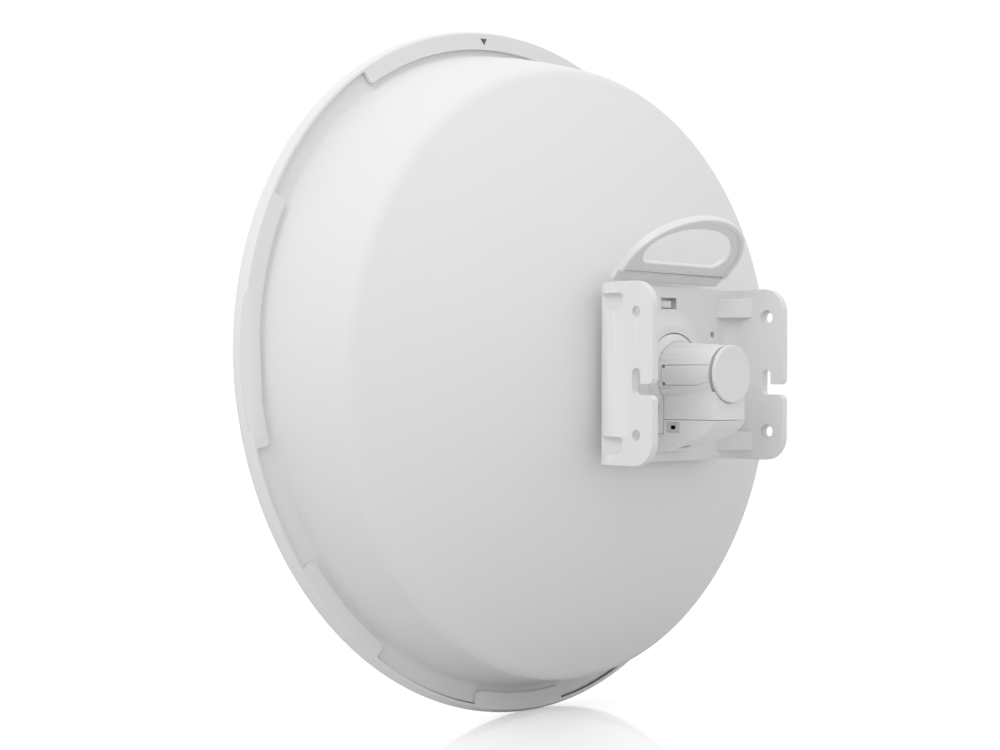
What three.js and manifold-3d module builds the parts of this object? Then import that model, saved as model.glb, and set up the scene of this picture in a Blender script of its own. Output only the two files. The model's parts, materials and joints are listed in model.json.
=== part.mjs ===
// Outdoor wireless bridge: a round dish antenna with a twist-on front radome, a carrying bracket
// that hooks onto a pole mount, and a radio housing that looks through the middle of the dish.
//
// Millimetres, +Z up. The dish axis runs along Y: the radome looks towards -Y and the bracket and the
// housing are at +Y. The origin is midway between the two hooks of the bracket, where its bolts hang.

import * as THREE from 'three';
import { mergeVertices } from 'three/addons/utils/BufferGeometryUtils.js';
import Module from 'manifold-3d';

const wasm = await Module();
wasm.setup();

// ---------------------------------------------------------------- driving dimensions

const GAP = 0.3;                  // between pieces that rest on or sit in each other
const CUT = 1;                    // how far a cutting shape runs past what it cuts
const CLOSE_FIT = 0.25;           // a bolt in its socket

// Rim: the plane where radome and reflector meet, tipped so that its top lies further forward
const RIM_RADIUS = 229.5;
const RIM_FORWARD = 165;          // rim centre, in front of the hooks
const RIM_RISE = 4;               // rim centre, above the dish axis
const RIM_TILT = THREE.MathUtils.degToRad(4);

// Front radome
const RADOME_WALL = 2.2;
const RADOME_BULGE = 16;
const RADOME_SHOULDER = 6;        // height of the rounded edge of the front face
const SKIRT_DEPTH = 6;
const SKIRT_TAPER = 2;            // the skirt closes in by this much towards its rear edge
const HOOK_THICKNESS = 2.5;
const HOOK_ROOM = 4.2;            // between the hooks and the root of the shroud
const LEDGE_INSET = 1;            // straight inner edge of the side hooks, inside the round ones
const FLAT_INSET = 7;             // how far each side flat cuts into the round skirt
const FLAT_HALF = 55;
const TWIST_GAP = 0.3;            // under the hooks
const SEAT_EDGE = 8.3;            // outer edge of the rib that seats on the flange, inside the rim
const FACE_RINGS = 4;             // facets of the front face, from its middle to its shoulder

// Reflector
const REFLECTOR_WALL = 2;
const FLANGE_CLEARANCE = 0.6;     // between the flange and the skirt
const FLANGE_WIDTH = 12.4;
const FLANGE_ROUND = 2.5;
const TIP_END = 25;               // the shroud is square to the rim up to this depth
const SHROUD_TAPER = 14.2;        // the shroud closes in by this much up to the ridge
const RIDGE_DEPTH = 62.5;         // rim plane to ridge
const RIDGE_ROUND = 8;
const DOME_RINGS = 6;             // facets of the dome, from its ridge to its hub
const HUB_RIM = 3.8;              // flat left around the latch, in the middle of the dome

// Hook bands of the radome: middle and half width, in degrees from the top towards +X
const TOP_BAND = [0, 34.4];
const SIDE_BAND = [82.7, 19.9];
const LOWER_BAND = [132.6, 10];
const BOTTOM_BAND = [175.6, 10.1];

// Bracket
const BRACKET_WIDTH = 129;
const BRACKET_HEIGHT = 108;
const PLATE = 5;
const BEND_RADIUS = 9;            // inner radius of the bends
const EAR_REACH = 12.5;           // rear edge of the ears, behind the hook bolts
const EAR_CORNER = 15;
const BASE_REAR = -30;            // rear face of the base plate
const HOLE_RADIUS = 3.25;
const COUNTERSINK = 1.5;          // wider than the hole, all round
const HOLE_SPACING = 72;
const SLOT_WIDTH = 6.4;
const SLOT_DROP = 12.6;           // lower edge of the hook's mouth, below the bolt axis
const SLOT_FLARE = 3;
const DART_EDGE = 11.7;           // centre line of the gusset darts, inside the ends of the ears
const DART_WIDTH = 13;
const DART_RECESS = 10;
const DART_ON_EAR = 19;
const DART_ON_BASE = 12.5;
const DART_WALL = 4;
const BOSS_RISE = 5;
const BOSS_SLOPE = 10;
const BOSS_LAND = 4;              // flat top of the boss, around the collar
const WINDOW_HALF = 7.2;
const WINDOW_EDGE = 6.6;          // top of the window, below the top of the ears
const WINDOW_HEIGHT = 7;
const SMALL_HOLE_RADIUS = 2;
const SMALL_HOLE_EDGE = 16.5;     // from the inner face of the ear
const SMALL_HOLE_Z = 25.5;

// Carrying handle, leaning back from the top of the base plate
const HANDLE_LEAN = THREE.MathUtils.degToRad(46);
const HANDLE_ROOT_RISE = 4.3;     // height of the bend, above the top of the ears
const HANDLE_SIDE = 14.5;         // sides of the handle, inside the outer faces of the ears
const HANDLE_REACH = 51.2;
const HANDLE_STRAIGHT = 15.3;
const HANDLE_WALL = 3.2;
const HANDLE_TUCK = 3.4;          // how far the handle's wall runs into the base plate
const HANDLE_LIP = 3;
const HANDLE_LIP_RISE = 2;
const HANDLE_LIP_START = 5;
const GRIP_RAIL = 11;             // width of the handle beside its opening
const GRIP_TOP_RAIL = 9.4;        // and above it
const GRIP_BOTTOM = 12.4;
const GRIP_MIDDLE = 25.4;
const GRIP_CORNER = 9;

// Bolts from the reflector into the bracket
const BOLT_TO_RIM = 8.5;          // from the rim of the flat hub
const BOLT_ANGLE = THREE.MathUtils.degToRad(41.2);
const BOLT_RADIUS = 2.5;
const BOLT_HEAD_RADIUS = 4.6;
const BOLT_HEAD_HEIGHT = 3.6;
const BOLT_FLANGE_RADIUS = 5.8;
const BOLT_FLANGE = 1.2;
const BOLT_BOSS_RADIUS = 7;
const BOLT_COVER = 1.5;           // plate left over the end of each bolt
const BOLT_END_ROOM = 0.7;
const HUB_STANDOFF = 4;           // base plate to the hub of the reflector

// Collar and radio housing
const HOUSING_BORE = 15;
const NECK_WALL = 3.3;
const NECK_REACH = 5;             // in front of the hub
const COLLAR_WALL = 6.7;
const COLLAR_THICKNESS = 7.8;
const COLLAR_OVERHANG = 1.5;      // foot of the collar, outside each side of the port cover
const COLLAR_FOOT = 8.8;          // below the seam
const BARREL_WALL = 2.2;          // at the rear end
const BARREL_TAPER = 2.8;
const BARREL_REAR = 15.5;
const BODY_HALF = 14;             // half the width of the lower part
const BODY_OVERHANG = 2.5;        // rear face of the lower part, behind the barrel
const BODY_WALL = 2;
const BAY_TOP = -5;
const PANEL_TOP = 5.5;
const PANEL_BOTTOM = -7;
const PANEL_START = 2.8;          // behind the collar
const PANEL_END = 0.4;            // in front of the barrel's end
const PANEL_FLOOR_WALL = 1.2;
const PANEL_NOTCH = 1.6;
const TOP_SLOT_START = 2.7;       // behind the collar
const TOP_SLOT_LENGTH = 9.5;
const TOP_SLOT_HALF = 3;
const TOP_SLOT_FLOOR_WALL = 1.6;

// End cap
const CAP_OVERHANG = 0.1;         // wider than the barrel's end, all round
const CAP_THICKNESS = 2.8;
const CAP_EDGE = 0.8;
const SEAL_THICKNESS = 1.3;
const SPIGOT_LENGTH = 4.4;
const SPIGOT_WALL = 1.5;

// Port cover
const COVER_WALL = 1.8;
const COVER_START = 0.6;          // behind the base plate
const COVER_DEPTH = 20.6;         // below the seam, at its front end
const COVER_HEEL = 14.5;          // height of its rear curve above its lowest edge
const COVER_KNEE = 9.6;           // height of the bend between its two curves
const COVER_KNEE_Y = 4;
const CABLE_RADIUS = 4;
const CABLE_Y = -17;

// Electronics
const BOARD_THICKNESS = 1.6;
const BOARD_DROP = 4;             // upper face, above the lowest line of the feed tube's bore
const BOARD_SIDE_ROOM = 0.6;
const BOARD_START = 2.9;          // behind the front wall of the bay
const BOARD_PAST_BUTTON = 1.2;
const TONGUE_SIDE_ROOM = 0.6;
const TONGUE_REACH = 30;          // into the feed tube
const BAY_HEIGHT = 16.8;          // seam to board
const BAY_RECESS = 0.7;           // jack and light pipe, above the seam
const JACK_HALF = 8;
const JACK_TO_BUTTON = 11.8;
const JACK_MOUTH_X = 11.8;
const JACK_MOUTH_Y = 8.4;
const JACK_MOUTH_DEPTH = 13.8;
const JACK_KEY_HALF = 3;
const JACK_KEY_DEPTH = 2;
const SCREW_EDGE = 2.4;           // board screws, from the sides of the board
const SCREW_TO_BUTTON = 0.4;
const SCREW_RADIUS = 1;
const SCREW_HEAD_RADIUS = 1.9;
const SCREW_HEAD = 1.3;
const POST_HALF = 2;
const POST_BOTTOM = 8;            // above the seam
const CAN_EDGE = 2.4;             // shield can, from the sides of the board
const CAN_FRONT = 3;              // from the front edge of the board
const CAN_REAR = 2;               // in front of the board screws' heads
const CAN_HEIGHT = 4;
const PIPE_HALF = 6;
const PIPE_DEPTH = 3.6;
const BUTTON_FROM_REAR = 7.2;
const BUTTON_RADIUS = 1.6;
const BUTTON_COLLAR = 0.7;
const BUTTON_COLLAR_HEIGHT = 1.2;
const BUTTON_TRAVEL = 0.8;
const SWITCH_HALF = 3;
const SWITCH_BOTTOM = 8.7;        // above the seam
const SWITCH_PAST_BUTTON = 1.9;

// Feed
const TUBE_WALL = 1.5;
const FEED_CAP_REACH = 10.7;      // face of the feed cap, in front of the rim plane
const FEED_CAP_DEPTH = 15.7;
const FEED_CAP_SLEEVE = 10;
const FEED_CAP_RADIUS = 29;
const FEED_CAP_WALL = 1.5;
const SUBREFLECTOR_EDGE = 1;      // feed cap outside the sub-reflector
const SUBREFLECTOR_THICKNESS = 1.6;
const RADIATOR_RECESS = 2;
const COAX_RADIUS = 1.8;
const COAX_X = 4.6;
const COAX_START = 14;            // in front of the wide part of the board

// Release latch
const LATCH_HALF = 5;
const LATCH_THICKNESS = 2;
const LATCH_LOW = 0.8;            // press pad, above the bottom of the window
const LATCH_HIGH = 1.8;           // press pad, below the top of the window
const LATCH_PAD_RISE = 3.4;
const LATCH_PAD_EDGE = 0.4;
const LATCH_FACE_GAP = 0.4;       // blade to the base plate
const LATCH_ROOM = 1.6;           // each side of the latch, in the hub

// Facets around a full circle
const BIG_ROUND = 64;
const MEDIUM_ROUND = 32;
const SMALL_ROUND = 16;
const TINY_ROUND = 12;

// ---------------------------------------------------------------- derived places

const SKIRT_INNER = RIM_RADIUS - SKIRT_TAPER - RADOME_WALL;
const FLANGE_RADIUS = SKIRT_INNER - FLANGE_CLEARANCE;
const ROOT_RADIUS = FLANGE_RADIUS - FLANGE_WIDTH;
const RIDGE_RADIUS = ROOT_RADIUS - SHROUD_TAPER;
const HOOK_INNER = ROOT_RADIUS + HOOK_ROOM;
const HOOK_FRONT = SKIRT_DEPTH - HOOK_THICKNESS;
const FLANGE_FRONT = HOOK_FRONT - TWIST_GAP - REFLECTOR_WALL;

const BASE_FRONT = BASE_REAR - PLATE;
const HUB_REAR = BASE_FRONT - HUB_STANDOFF;
const HUB_FRONT = HUB_REAR - REFLECTOR_WALL;
const EAR_OUTER = BRACKET_WIDTH / 2;
const EAR_INNER = EAR_OUTER - PLATE;
const HALF_HEIGHT = BRACKET_HEIGHT / 2;
const SLOT_HALF = SLOT_WIDTH / 2;
const DART_Z = HALF_HEIGHT - DART_EDGE;
const WINDOW_TOP = HALF_HEIGHT - WINDOW_EDGE;
const WINDOW_BOTTOM = WINDOW_TOP - WINDOW_HEIGHT;
const SMALL_HOLE_X = EAR_INNER - SMALL_HOLE_EDGE;
const HANDLE_ROOT = HALF_HEIGHT + HANDLE_ROOT_RISE;
const HANDLE_HALF = EAR_OUTER - HANDLE_SIDE;
const GRIP_HALF = HANDLE_HALF - GRIP_RAIL;
const GRIP_TOP = HANDLE_REACH - GRIP_TOP_RAIL;

const LATCH_TOP = WINDOW_TOP - LATCH_HIGH;
const HUB_RADIUS = LATCH_TOP + LATCH_ROOM + HUB_RIM;
const BOLT_X = (HUB_RADIUS - BOLT_TO_RIM) * Math.cos(BOLT_ANGLE);
const BOLT_Z = (HUB_RADIUS - BOLT_TO_RIM) * Math.sin(BOLT_ANGLE);

const NECK_RADIUS = HOUSING_BORE + NECK_WALL;
const NECK_FRONT = HUB_FRONT - NECK_REACH;
const COLLAR_RADIUS = NECK_RADIUS + COLLAR_WALL;
const COLLAR_REAR = BASE_REAR + COLLAR_THICKNESS;
const COLLAR_HALF = BODY_HALF + COLLAR_OVERHANG;
const BOSS_TOP_RADIUS = COLLAR_RADIUS + BOSS_LAND;
const BOSS_RADIUS = BOSS_TOP_RADIUS + BOSS_SLOPE;
const BARREL_REAR_RADIUS = HOUSING_BORE + BARREL_WALL;
const BARREL_FRONT_RADIUS = BARREL_REAR_RADIUS + BARREL_TAPER;
const HOUSING_FRONT = COLLAR_REAR + GAP;
const BODY_REAR = BARREL_REAR + BODY_OVERHANG;
const CAP_RADIUS = BARREL_REAR_RADIUS + CAP_OVERHANG;
const CAP_FRONT = BARREL_REAR + GAP + SEAL_THICKNESS + GAP;

const TUBE_RADIUS = HOUSING_BORE - GAP;
const TUBE_BORE = TUBE_RADIUS - TUBE_WALL;
const TUBE_REAR = BASE_REAR;
const FEED_CAP_FRONT = -RIM_FORWARD - FEED_CAP_REACH;
const TUBE_FRONT = FEED_CAP_FRONT + FEED_CAP_DEPTH;

const BOARD_TOP = BOARD_DROP - TUBE_BORE;
const BOARD_BOTTOM = BOARD_TOP - BOARD_THICKNESS;
const BOARD_HALF = BODY_HALF - BODY_WALL - BOARD_SIDE_ROOM;
const BOARD_FRONT = HOUSING_FRONT + BODY_WALL + BOARD_START;
const TONGUE_HALF = Math.sqrt(TUBE_BORE ** 2 - BOARD_BOTTOM ** 2) - TONGUE_SIDE_ROOM;
const BUTTON_Y = BODY_REAR - BUTTON_FROM_REAR;
const BOARD_REAR = BUTTON_Y + BOARD_PAST_BUTTON;
const SCREW_X = BOARD_HALF - SCREW_EDGE;
const SCREW_Y = BUTTON_Y - SCREW_TO_BUTTON;
const JACK_Y = BUTTON_Y - JACK_TO_BUTTON;
const SEAM = BOARD_BOTTOM - BAY_HEIGHT;
const COLLAR_BOTTOM = SEAM - COLLAR_FOOT;
const BAY_BOTTOM = SEAM + BAY_RECESS;
const COVER_FRONT = BASE_REAR + COVER_START;
const SWITCH_LOW = SEAM + SWITCH_BOTTOM;

// ---------------------------------------------------------------- shapes

const X = new THREE.Vector3(1, 0, 0);
const Y = new THREE.Vector3(0, 1, 0);
const Z = new THREE.Vector3(0, 0, 1);

/** A box between two corners. */
function box(low, high) {
  const size = high.map((value, i) => value - low[i]);
  const geometry = new THREE.BoxGeometry(...size);
  return geometry.translate(low[0] + size[0] / 2, low[1] + size[1] / 2, low[2] + size[2] / 2);
}

/** A rod along Y at (x, z). */
function rodY(radius, front, rear, x = 0, z = 0, round = SMALL_ROUND) {
  const geometry = new THREE.CylinderGeometry(radius, radius, rear - front, round);
  return geometry.translate(x, (front + rear) / 2, z);
}

/** A rod along Z at (x, y). */
function rodZ(radius, bottom, top, x = 0, y = 0, round = SMALL_ROUND) {
  const geometry = new THREE.CylinderGeometry(radius, radius, top - bottom, round);
  return geometry.rotateX(Math.PI / 2).translate(x, y, (bottom + top) / 2);
}

/** A cone frustum or rod along X at (y, z). */
function rodX(lowRadius, highRadius, low, high, y, z, round = SMALL_ROUND) {
  const geometry = new THREE.CylinderGeometry(highRadius, lowRadius, high - low, round);
  return geometry.rotateZ(-Math.PI / 2).translate((low + high) / 2, y, z);
}

/** A body of revolution about Y from [radius, y] points. */
function turned(points, round = MEDIUM_ROUND) {
  return new THREE.LatheGeometry(points.map(([r, y]) => new THREE.Vector2(r, y)), round);
}

/** The shape through [u, v] points. */
function outline(points) {
  return new THREE.Shape(points.map(([u, v]) => new THREE.Vector2(u, v)));
}

/** Steps from 0 to 1, both ends included. */
function fractions(count) {
  return Array.from({ length: count + 1 }, (_, i) => i / count);
}

function extruded(shape, depth, curveSegments) {
  return new THREE.ExtrudeGeometry(shape, { depth, bevelEnabled: false, curveSegments });
}

/** A (y, z) outline, extruded from x = low to x = high. */
function extrudedX(shape, low, high, curveSegments = 8) {
  const turn = new THREE.Matrix4().makeBasis(Y, Z, X);
  return extruded(shape, high - low, curveSegments).applyMatrix4(turn).translate(low, 0, 0);
}

/** An (x, z) outline, extruded from y = front to y = rear. */
function extrudedY(shape, front, rear, curveSegments = 8) {
  return extruded(shape, rear - front, curveSegments).rotateX(Math.PI / 2).translate(0, rear, 0);
}

/** An (x, y) outline, extruded from z = bottom to z = top. */
function extrudedZ(shape, bottom, top, curveSegments = 8) {
  return extruded(shape, top - bottom, curveSegments).translate(0, 0, bottom);
}

/** The ring sector between two radii and two angles, in degrees from +Z towards +X. */
function sector(inner, outer, start, end, front, rear) {
  const steps = Math.max(2, Math.ceil((end - start) / (360 / BIG_ROUND)));
  const points = [];
  for (const [radius, from, to] of [[outer, start, end], [inner, end, start]]) {
    for (let i = 0; i <= steps; i += 1) {
      const angle = THREE.MathUtils.degToRad(from + (to - from) * (i / steps));
      points.push([radius * Math.sin(angle), radius * Math.cos(angle)]);
    }
  }
  return extrudedY(outline(points), front, rear);
}

// ---------------------------------------------------------------- solids

function signedVolume(position, triangles) {
  const [a, b, c] = [new THREE.Vector3(), new THREE.Vector3(), new THREE.Vector3()];
  let volume = 0;
  for (let i = 0; i < triangles.length; i += 3) {
    a.fromBufferAttribute(position, triangles[i]);
    b.fromBufferAttribute(position, triangles[i + 1]);
    c.fromBufferAttribute(position, triangles[i + 2]);
    volume += a.dot(b.cross(c));
  }
  return volume;
}

/** A closed geometry as a solid with its faces pointing out. */
function solid(geometry) {
  const bare = geometry.clone();
  bare.deleteAttribute('normal');
  bare.deleteAttribute('uv');
  const merged = mergeVertices(bare, 1e-4);
  const position = merged.attributes.position;
  const index = merged.index.array;
  const triangles = [];
  for (let i = 0; i < index.length; i += 3) {
    const [a, b, c] = [index[i], index[i + 1], index[i + 2]];
    if (a !== b && b !== c && c !== a) triangles.push(a, b, c);
  }
  if (signedVolume(position, triangles) < 0) triangles.reverse();
  const mesh = new wasm.Mesh({
    numProp: 3,
    vertProperties: Float32Array.from(position.array),
    triVerts: Uint32Array.from(triangles),
  });
  return new wasm.Manifold(mesh);
}

function joined(first, ...rest) {
  return rest.reduce((sum, geometry) => sum.add(solid(geometry)), asSolid(first));
}

function cut(first, ...rest) {
  return rest.reduce((sum, geometry) => sum.subtract(asSolid(geometry)), asSolid(first));
}

function asSolid(shape) {
  return shape.isBufferGeometry ? solid(shape) : shape;
}

function geometryOf(shape) {
  const mesh = shape.getMesh();
  const geometry = new THREE.BufferGeometry();
  geometry.setAttribute('position', new THREE.BufferAttribute(mesh.vertProperties, 3));
  geometry.setIndex(new THREE.BufferAttribute(mesh.triVerts, 1));
  return geometry;
}

function piece(name, shape, material) {
  const geometry = geometryOf(asSolid(shape));
  geometry.computeVertexNormals();
  const result = new THREE.Mesh(geometry, material.clone());
  result.name = name;
  return result;
}

// ---------------------------------------------------------------- materials

function finish(color, roughness, metalness = 0) {
  return new THREE.MeshStandardMaterial({ color, roughness, metalness });
}

const RADOME_PLASTIC = finish(0xececec, 0.45);
const COATED_METAL = finish(0xe9eaea, 0.4);
const BRACKET_COAT = finish(0xe6e7e7, 0.5);
const HOUSING_PLASTIC = finish(0xededed, 0.42);
const BARE_METAL = finish(0xb9bcc0, 0.35, 1);
const BLACK_PLASTIC = finish(0x222326, 0.5);
const CLEAR_PLASTIC = finish(0xdfe8ea, 0.2);
const SEAL_RUBBER = finish(0xd2d3d4, 0.8);
const BOARD_LAMINATE = finish(0x1f5a36, 0.5);

// ---------------------------------------------------------------- rim frame

/** Local +Y is the rear normal of the rim plane, and the origin is its centre. */
const rim = new THREE.Group();
rim.position.set(0, -RIM_FORWARD, RIM_RISE);
rim.rotation.x = RIM_TILT;
rim.updateMatrix();

// ---------------------------------------------------------------- front radome

function radomeFace(radius, inset) {
  const edge = RIM_RADIUS - RADOME_SHOULDER;
  return inset - RADOME_SHOULDER - RADOME_BULGE * (1 - (radius / edge) ** 2);
}

function radomeShell() {
  const edge = RIM_RADIUS - RADOME_SHOULDER;
  const inner = RIM_RADIUS - RADOME_WALL;
  const seat = FLANGE_FRONT - GAP;
  const [ribInner, ribOuter] = [ROOT_RADIUS + FLANGE_ROUND, RIM_RADIUS - SEAT_EDGE];
  const reach = ribInner - RADOME_SHOULDER;
  const radii = fractions(FACE_RINGS).slice(0, -1).map((share) => reach * Math.sqrt(share));
  const front = radii.map((r) => [r, radomeFace(r, 0)]);
  const shoulder = fractions(3).map((share) => {
    const angle = (share * Math.PI) / 2;
    return [edge + RADOME_SHOULDER * Math.sin(angle), -RADOME_SHOULDER * Math.cos(angle)];
  });
  const skirt = [[RIM_RADIUS - SKIRT_TAPER, SKIRT_DEPTH], [SKIRT_INNER, SKIRT_DEPTH], [inner, 0]];
  const rib = [
    [edge, radomeFace(edge, RADOME_WALL)],
    [ribOuter, radomeFace(ribOuter, RADOME_WALL)],
    [ribOuter, seat],
    [ribInner, seat],
    [ribInner, radomeFace(ribInner, RADOME_WALL)],
  ];
  const back = radii.map((r) => [r, radomeFace(r, RADOME_WALL)]).reverse();
  return turned([...front, ...shoulder, ...skirt, ...rib, ...back], BIG_ROUND);
}

/** One side flat: behind the flange, the skirt leans in to a straight rear edge. */
function sideFlat(side) {
  const [frontX, rearX] = [RIM_RADIUS + GAP, RIM_RADIUS - FLAT_INSET];
  const lean = [[frontX, HOOK_FRONT], [rearX, SKIRT_DEPTH]];
  const wall = [...lean, [rearX - RADOME_WALL, SKIRT_DEPTH], [rearX - RADOME_WALL, HOOK_FRONT]];
  const waste = [...lean, [frontX + CUT, SKIRT_DEPTH + CUT], [frontX + CUT, HOOK_FRONT]];
  const mirrored = (points) => outline(points.map(([x, y]) => [side * x, y]));
  const cone = [[0, 0], [RIM_RADIUS, 0], [RIM_RADIUS - SKIRT_TAPER, SKIRT_DEPTH], [0, SKIRT_DEPTH]];
  const disc = solid(turned(cone, BIG_ROUND));
  return {
    wall: solid(extrudedZ(mirrored(wall), -FLAT_HALF, FLAT_HALF)).intersect(disc),
    waste: solid(extrudedZ(mirrored(waste), -FLAT_HALF, FLAT_HALF)),
  };
}

/** Start and end of each hook band, in degrees. The lower and side bands are on both sides. */
function hookBands() {
  const turnBack = ([middle, half]) => [360 - middle, half];
  const bands = [TOP_BAND, SIDE_BAND, LOWER_BAND, BOTTOM_BAND, turnBack(LOWER_BAND), turnBack(SIDE_BAND)];
  return bands.map(([middle, half]) => [middle - half, middle + half]);
}

function frontRadome() {
  const outer = SKIRT_INNER + CUT;
  let shell = solid(radomeShell());
  for (const [start, end] of hookBands()) {
    shell = shell.add(solid(sector(HOOK_INNER, outer, start, end, HOOK_FRONT, SKIRT_DEPTH)));
  }
  for (const side of [1, -1]) {
    const flat = sideFlat(side);
    const inset = HOOK_INNER - LEDGE_INSET;
    const edges = [side * inset, side * (RIM_RADIUS - FLAT_INSET - CUT)].sort((a, b) => a - b);
    const chord = Math.sqrt(HOOK_INNER ** 2 - inset ** 2);
    const ledge = box([edges[0], HOOK_FRONT, -chord], [edges[1], SKIRT_DEPTH, chord]);
    shell = shell.add(flat.wall).add(solid(ledge)).subtract(flat.waste);
  }
  return piece('front_radome', shell, RADOME_PLASTIC);
}

// ---------------------------------------------------------------- reflector

/** Distance behind the rim of the dome: a parabola through its ridge and the edge of its hub. */
function parabola(radius) {
  const depth = RIM_FORWARD + HUB_REAR - RIDGE_DEPTH;
  return RIDGE_DEPTH + (depth * (RIDGE_RADIUS ** 2 - radius ** 2)) / (RIDGE_RADIUS ** 2 - HUB_RADIUS ** 2);
}

/** Rear face of the reflector from its flange to its hub, as [radius, distance behind the rim]. */
function reflectorRear() {
  const flange = FLANGE_FRONT + REFLECTOR_WALL;
  const hub = RIM_FORWARD + HUB_REAR;
  const slope = SHROUD_TAPER / (RIDGE_DEPTH - flange);
  const domeEdge = RIDGE_RADIUS - RIDGE_ROUND;
  const path = new THREE.Path();
  path.moveTo(FLANGE_RADIUS, flange);
  path.lineTo(ROOT_RADIUS + FLANGE_ROUND, flange);
  path.quadraticCurveTo(ROOT_RADIUS, flange, ROOT_RADIUS - slope * FLANGE_ROUND, flange + FLANGE_ROUND);
  path.lineTo(RIDGE_RADIUS + slope * RIDGE_ROUND, RIDGE_DEPTH - RIDGE_ROUND);
  path.quadraticCurveTo(RIDGE_RADIUS, RIDGE_DEPTH, domeEdge, parabola(domeEdge));
  const points = path.getPoints(3).map((p) => [p.x, p.y]);
  for (const share of fractions(DOME_RINGS).slice(1)) {
    const radius = domeEdge + (HUB_RADIUS - domeEdge) * share;
    points.push([radius, parabola(radius)]);
  }
  points.push([0, hub]);
  return points;
}

/** The same line one wall further in, with its ends kept on the flange's edge and on the axis. */
function inset(points, wall) {
  const last = points.length - 1;
  return points.map(([r, y], i) => {
    const [r0, y0] = points[Math.max(0, i - 1)];
    const [r1, y1] = points[Math.min(last, i + 1)];
    const length = Math.hypot(r1 - r0, y1 - y0);
    const shift = [(-wall * (y1 - y0)) / length, (wall * (r1 - r0)) / length];
    return i === 0 || i === last ? [r, y + shift[1]] : [r + shift[0], y + shift[1]];
  });
}

/** Slides each point from the upright dish frame at the ridge to the tipped rim frame at the flange. */
function leanToRim(geometry) {
  const position = geometry.attributes.position;
  const upright = new THREE.Vector3();
  const tipped = new THREE.Vector3();
  for (let i = 0; i < position.count; i += 1) {
    upright.fromBufferAttribute(position, i);
    tipped.copy(upright).applyMatrix4(rim.matrix);
    const share = THREE.MathUtils.clamp((RIDGE_DEPTH - upright.y) / (RIDGE_DEPTH - TIP_END), 0, 1);
    upright.y -= RIM_FORWARD;
    upright.lerp(tipped, share);
    position.setXYZ(i, upright.x, upright.y, upright.z);
  }
  return geometry;
}

function reflectorDish() {
  const rear = reflectorRear();
  const front = inset(rear, REFLECTOR_WALL).reverse();
  const dish = solid(leanToRim(turned([...rear, ...front, rear[0]], BIG_ROUND)));
  const [low, high] = [HUB_FRONT - CUT, HUB_REAR + CUT];
  const room = LATCH_HALF + LATCH_ROOM;
  const neckHole = rodY(NECK_RADIUS + 2 * GAP, low, high, 0, 0, MEDIUM_ROUND);
  const latchHole = box([-room, low, 0], [room, high, LATCH_TOP + LATCH_ROOM]);
  const boltHoles = boltPlaces().map(([x, z]) => rodY(BOLT_RADIUS + GAP, low, high, x, z));
  return piece('reflector_dish', cut(dish, neckHole, latchHole, ...boltHoles), COATED_METAL);
}

// ---------------------------------------------------------------- bracket

function boltPlaces() {
  return [[BOLT_X, BOLT_Z], [-BOLT_X, BOLT_Z], [-BOLT_X, -BOLT_Z], [BOLT_X, -BOLT_Z]];
}

/** Base plate and ears: a channel, seen from above. */
function channel() {
  const [outer, inner] = [BEND_RADIUS + PLATE, BEND_RADIUS];
  const bendX = EAR_INNER - BEND_RADIUS;
  const bendY = BASE_REAR + BEND_RADIUS;
  const shape = new THREE.Shape();
  shape.moveTo(-EAR_OUTER, EAR_REACH);
  shape.lineTo(-EAR_OUTER, bendY);
  shape.absarc(-bendX, bendY, outer, Math.PI, 1.5 * Math.PI, false);
  shape.absarc(bendX, bendY, outer, 1.5 * Math.PI, 2 * Math.PI, false);
  shape.lineTo(EAR_OUTER, EAR_REACH);
  shape.lineTo(EAR_INNER, EAR_REACH);
  shape.absarc(bendX, bendY, inner, 0, -0.5 * Math.PI, true);
  shape.absarc(-bendX, bendY, inner, 1.5 * Math.PI, Math.PI, true);
  shape.lineTo(-EAR_INNER, EAR_REACH);
  return extrudedZ(shape, -HALF_HEIGHT, HALF_HEIGHT, 5);
}

/** Side view of the ears, with rounded rear corners. */
function earOutline() {
  const shape = new THREE.Shape();
  const front = BASE_FRONT - CUT;
  const [cornerY, cornerZ] = [EAR_REACH - EAR_CORNER, HALF_HEIGHT - EAR_CORNER];
  shape.moveTo(front, -HALF_HEIGHT);
  shape.lineTo(cornerY, -HALF_HEIGHT);
  shape.absarc(cornerY, -cornerZ, EAR_CORNER, -0.5 * Math.PI, 0, false);
  shape.absarc(cornerY, cornerZ, EAR_CORNER, 0, 0.5 * Math.PI, false);
  shape.lineTo(front, HALF_HEIGHT);
  return shape;
}

/** L-shaped hook: a mouth at the rear edge and a leg up to where the bolt hangs. */
function hookSlot() {
  const shape = new THREE.Shape();
  const mouthTop = -SLOT_DROP + SLOT_WIDTH;
  const end = EAR_REACH + CUT;
  shape.moveTo(-SLOT_HALF, 0);
  shape.lineTo(-SLOT_HALF, -SLOT_DROP + SLOT_HALF);
  shape.quadraticCurveTo(-SLOT_HALF, -SLOT_DROP, 0, -SLOT_DROP);
  shape.lineTo(EAR_REACH - SLOT_FLARE, -SLOT_DROP);
  shape.quadraticCurveTo(EAR_REACH, -SLOT_DROP, end, -SLOT_DROP - SLOT_FLARE);
  shape.lineTo(end, mouthTop + SLOT_FLARE);
  shape.quadraticCurveTo(EAR_REACH - 1, mouthTop, EAR_REACH - 2 * SLOT_FLARE, mouthTop);
  shape.lineTo(SLOT_HALF, mouthTop);
  shape.lineTo(SLOT_HALF, 0);
  shape.absarc(0, 0, SLOT_HALF, 0, Math.PI, false);
  return shape;
}

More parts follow.
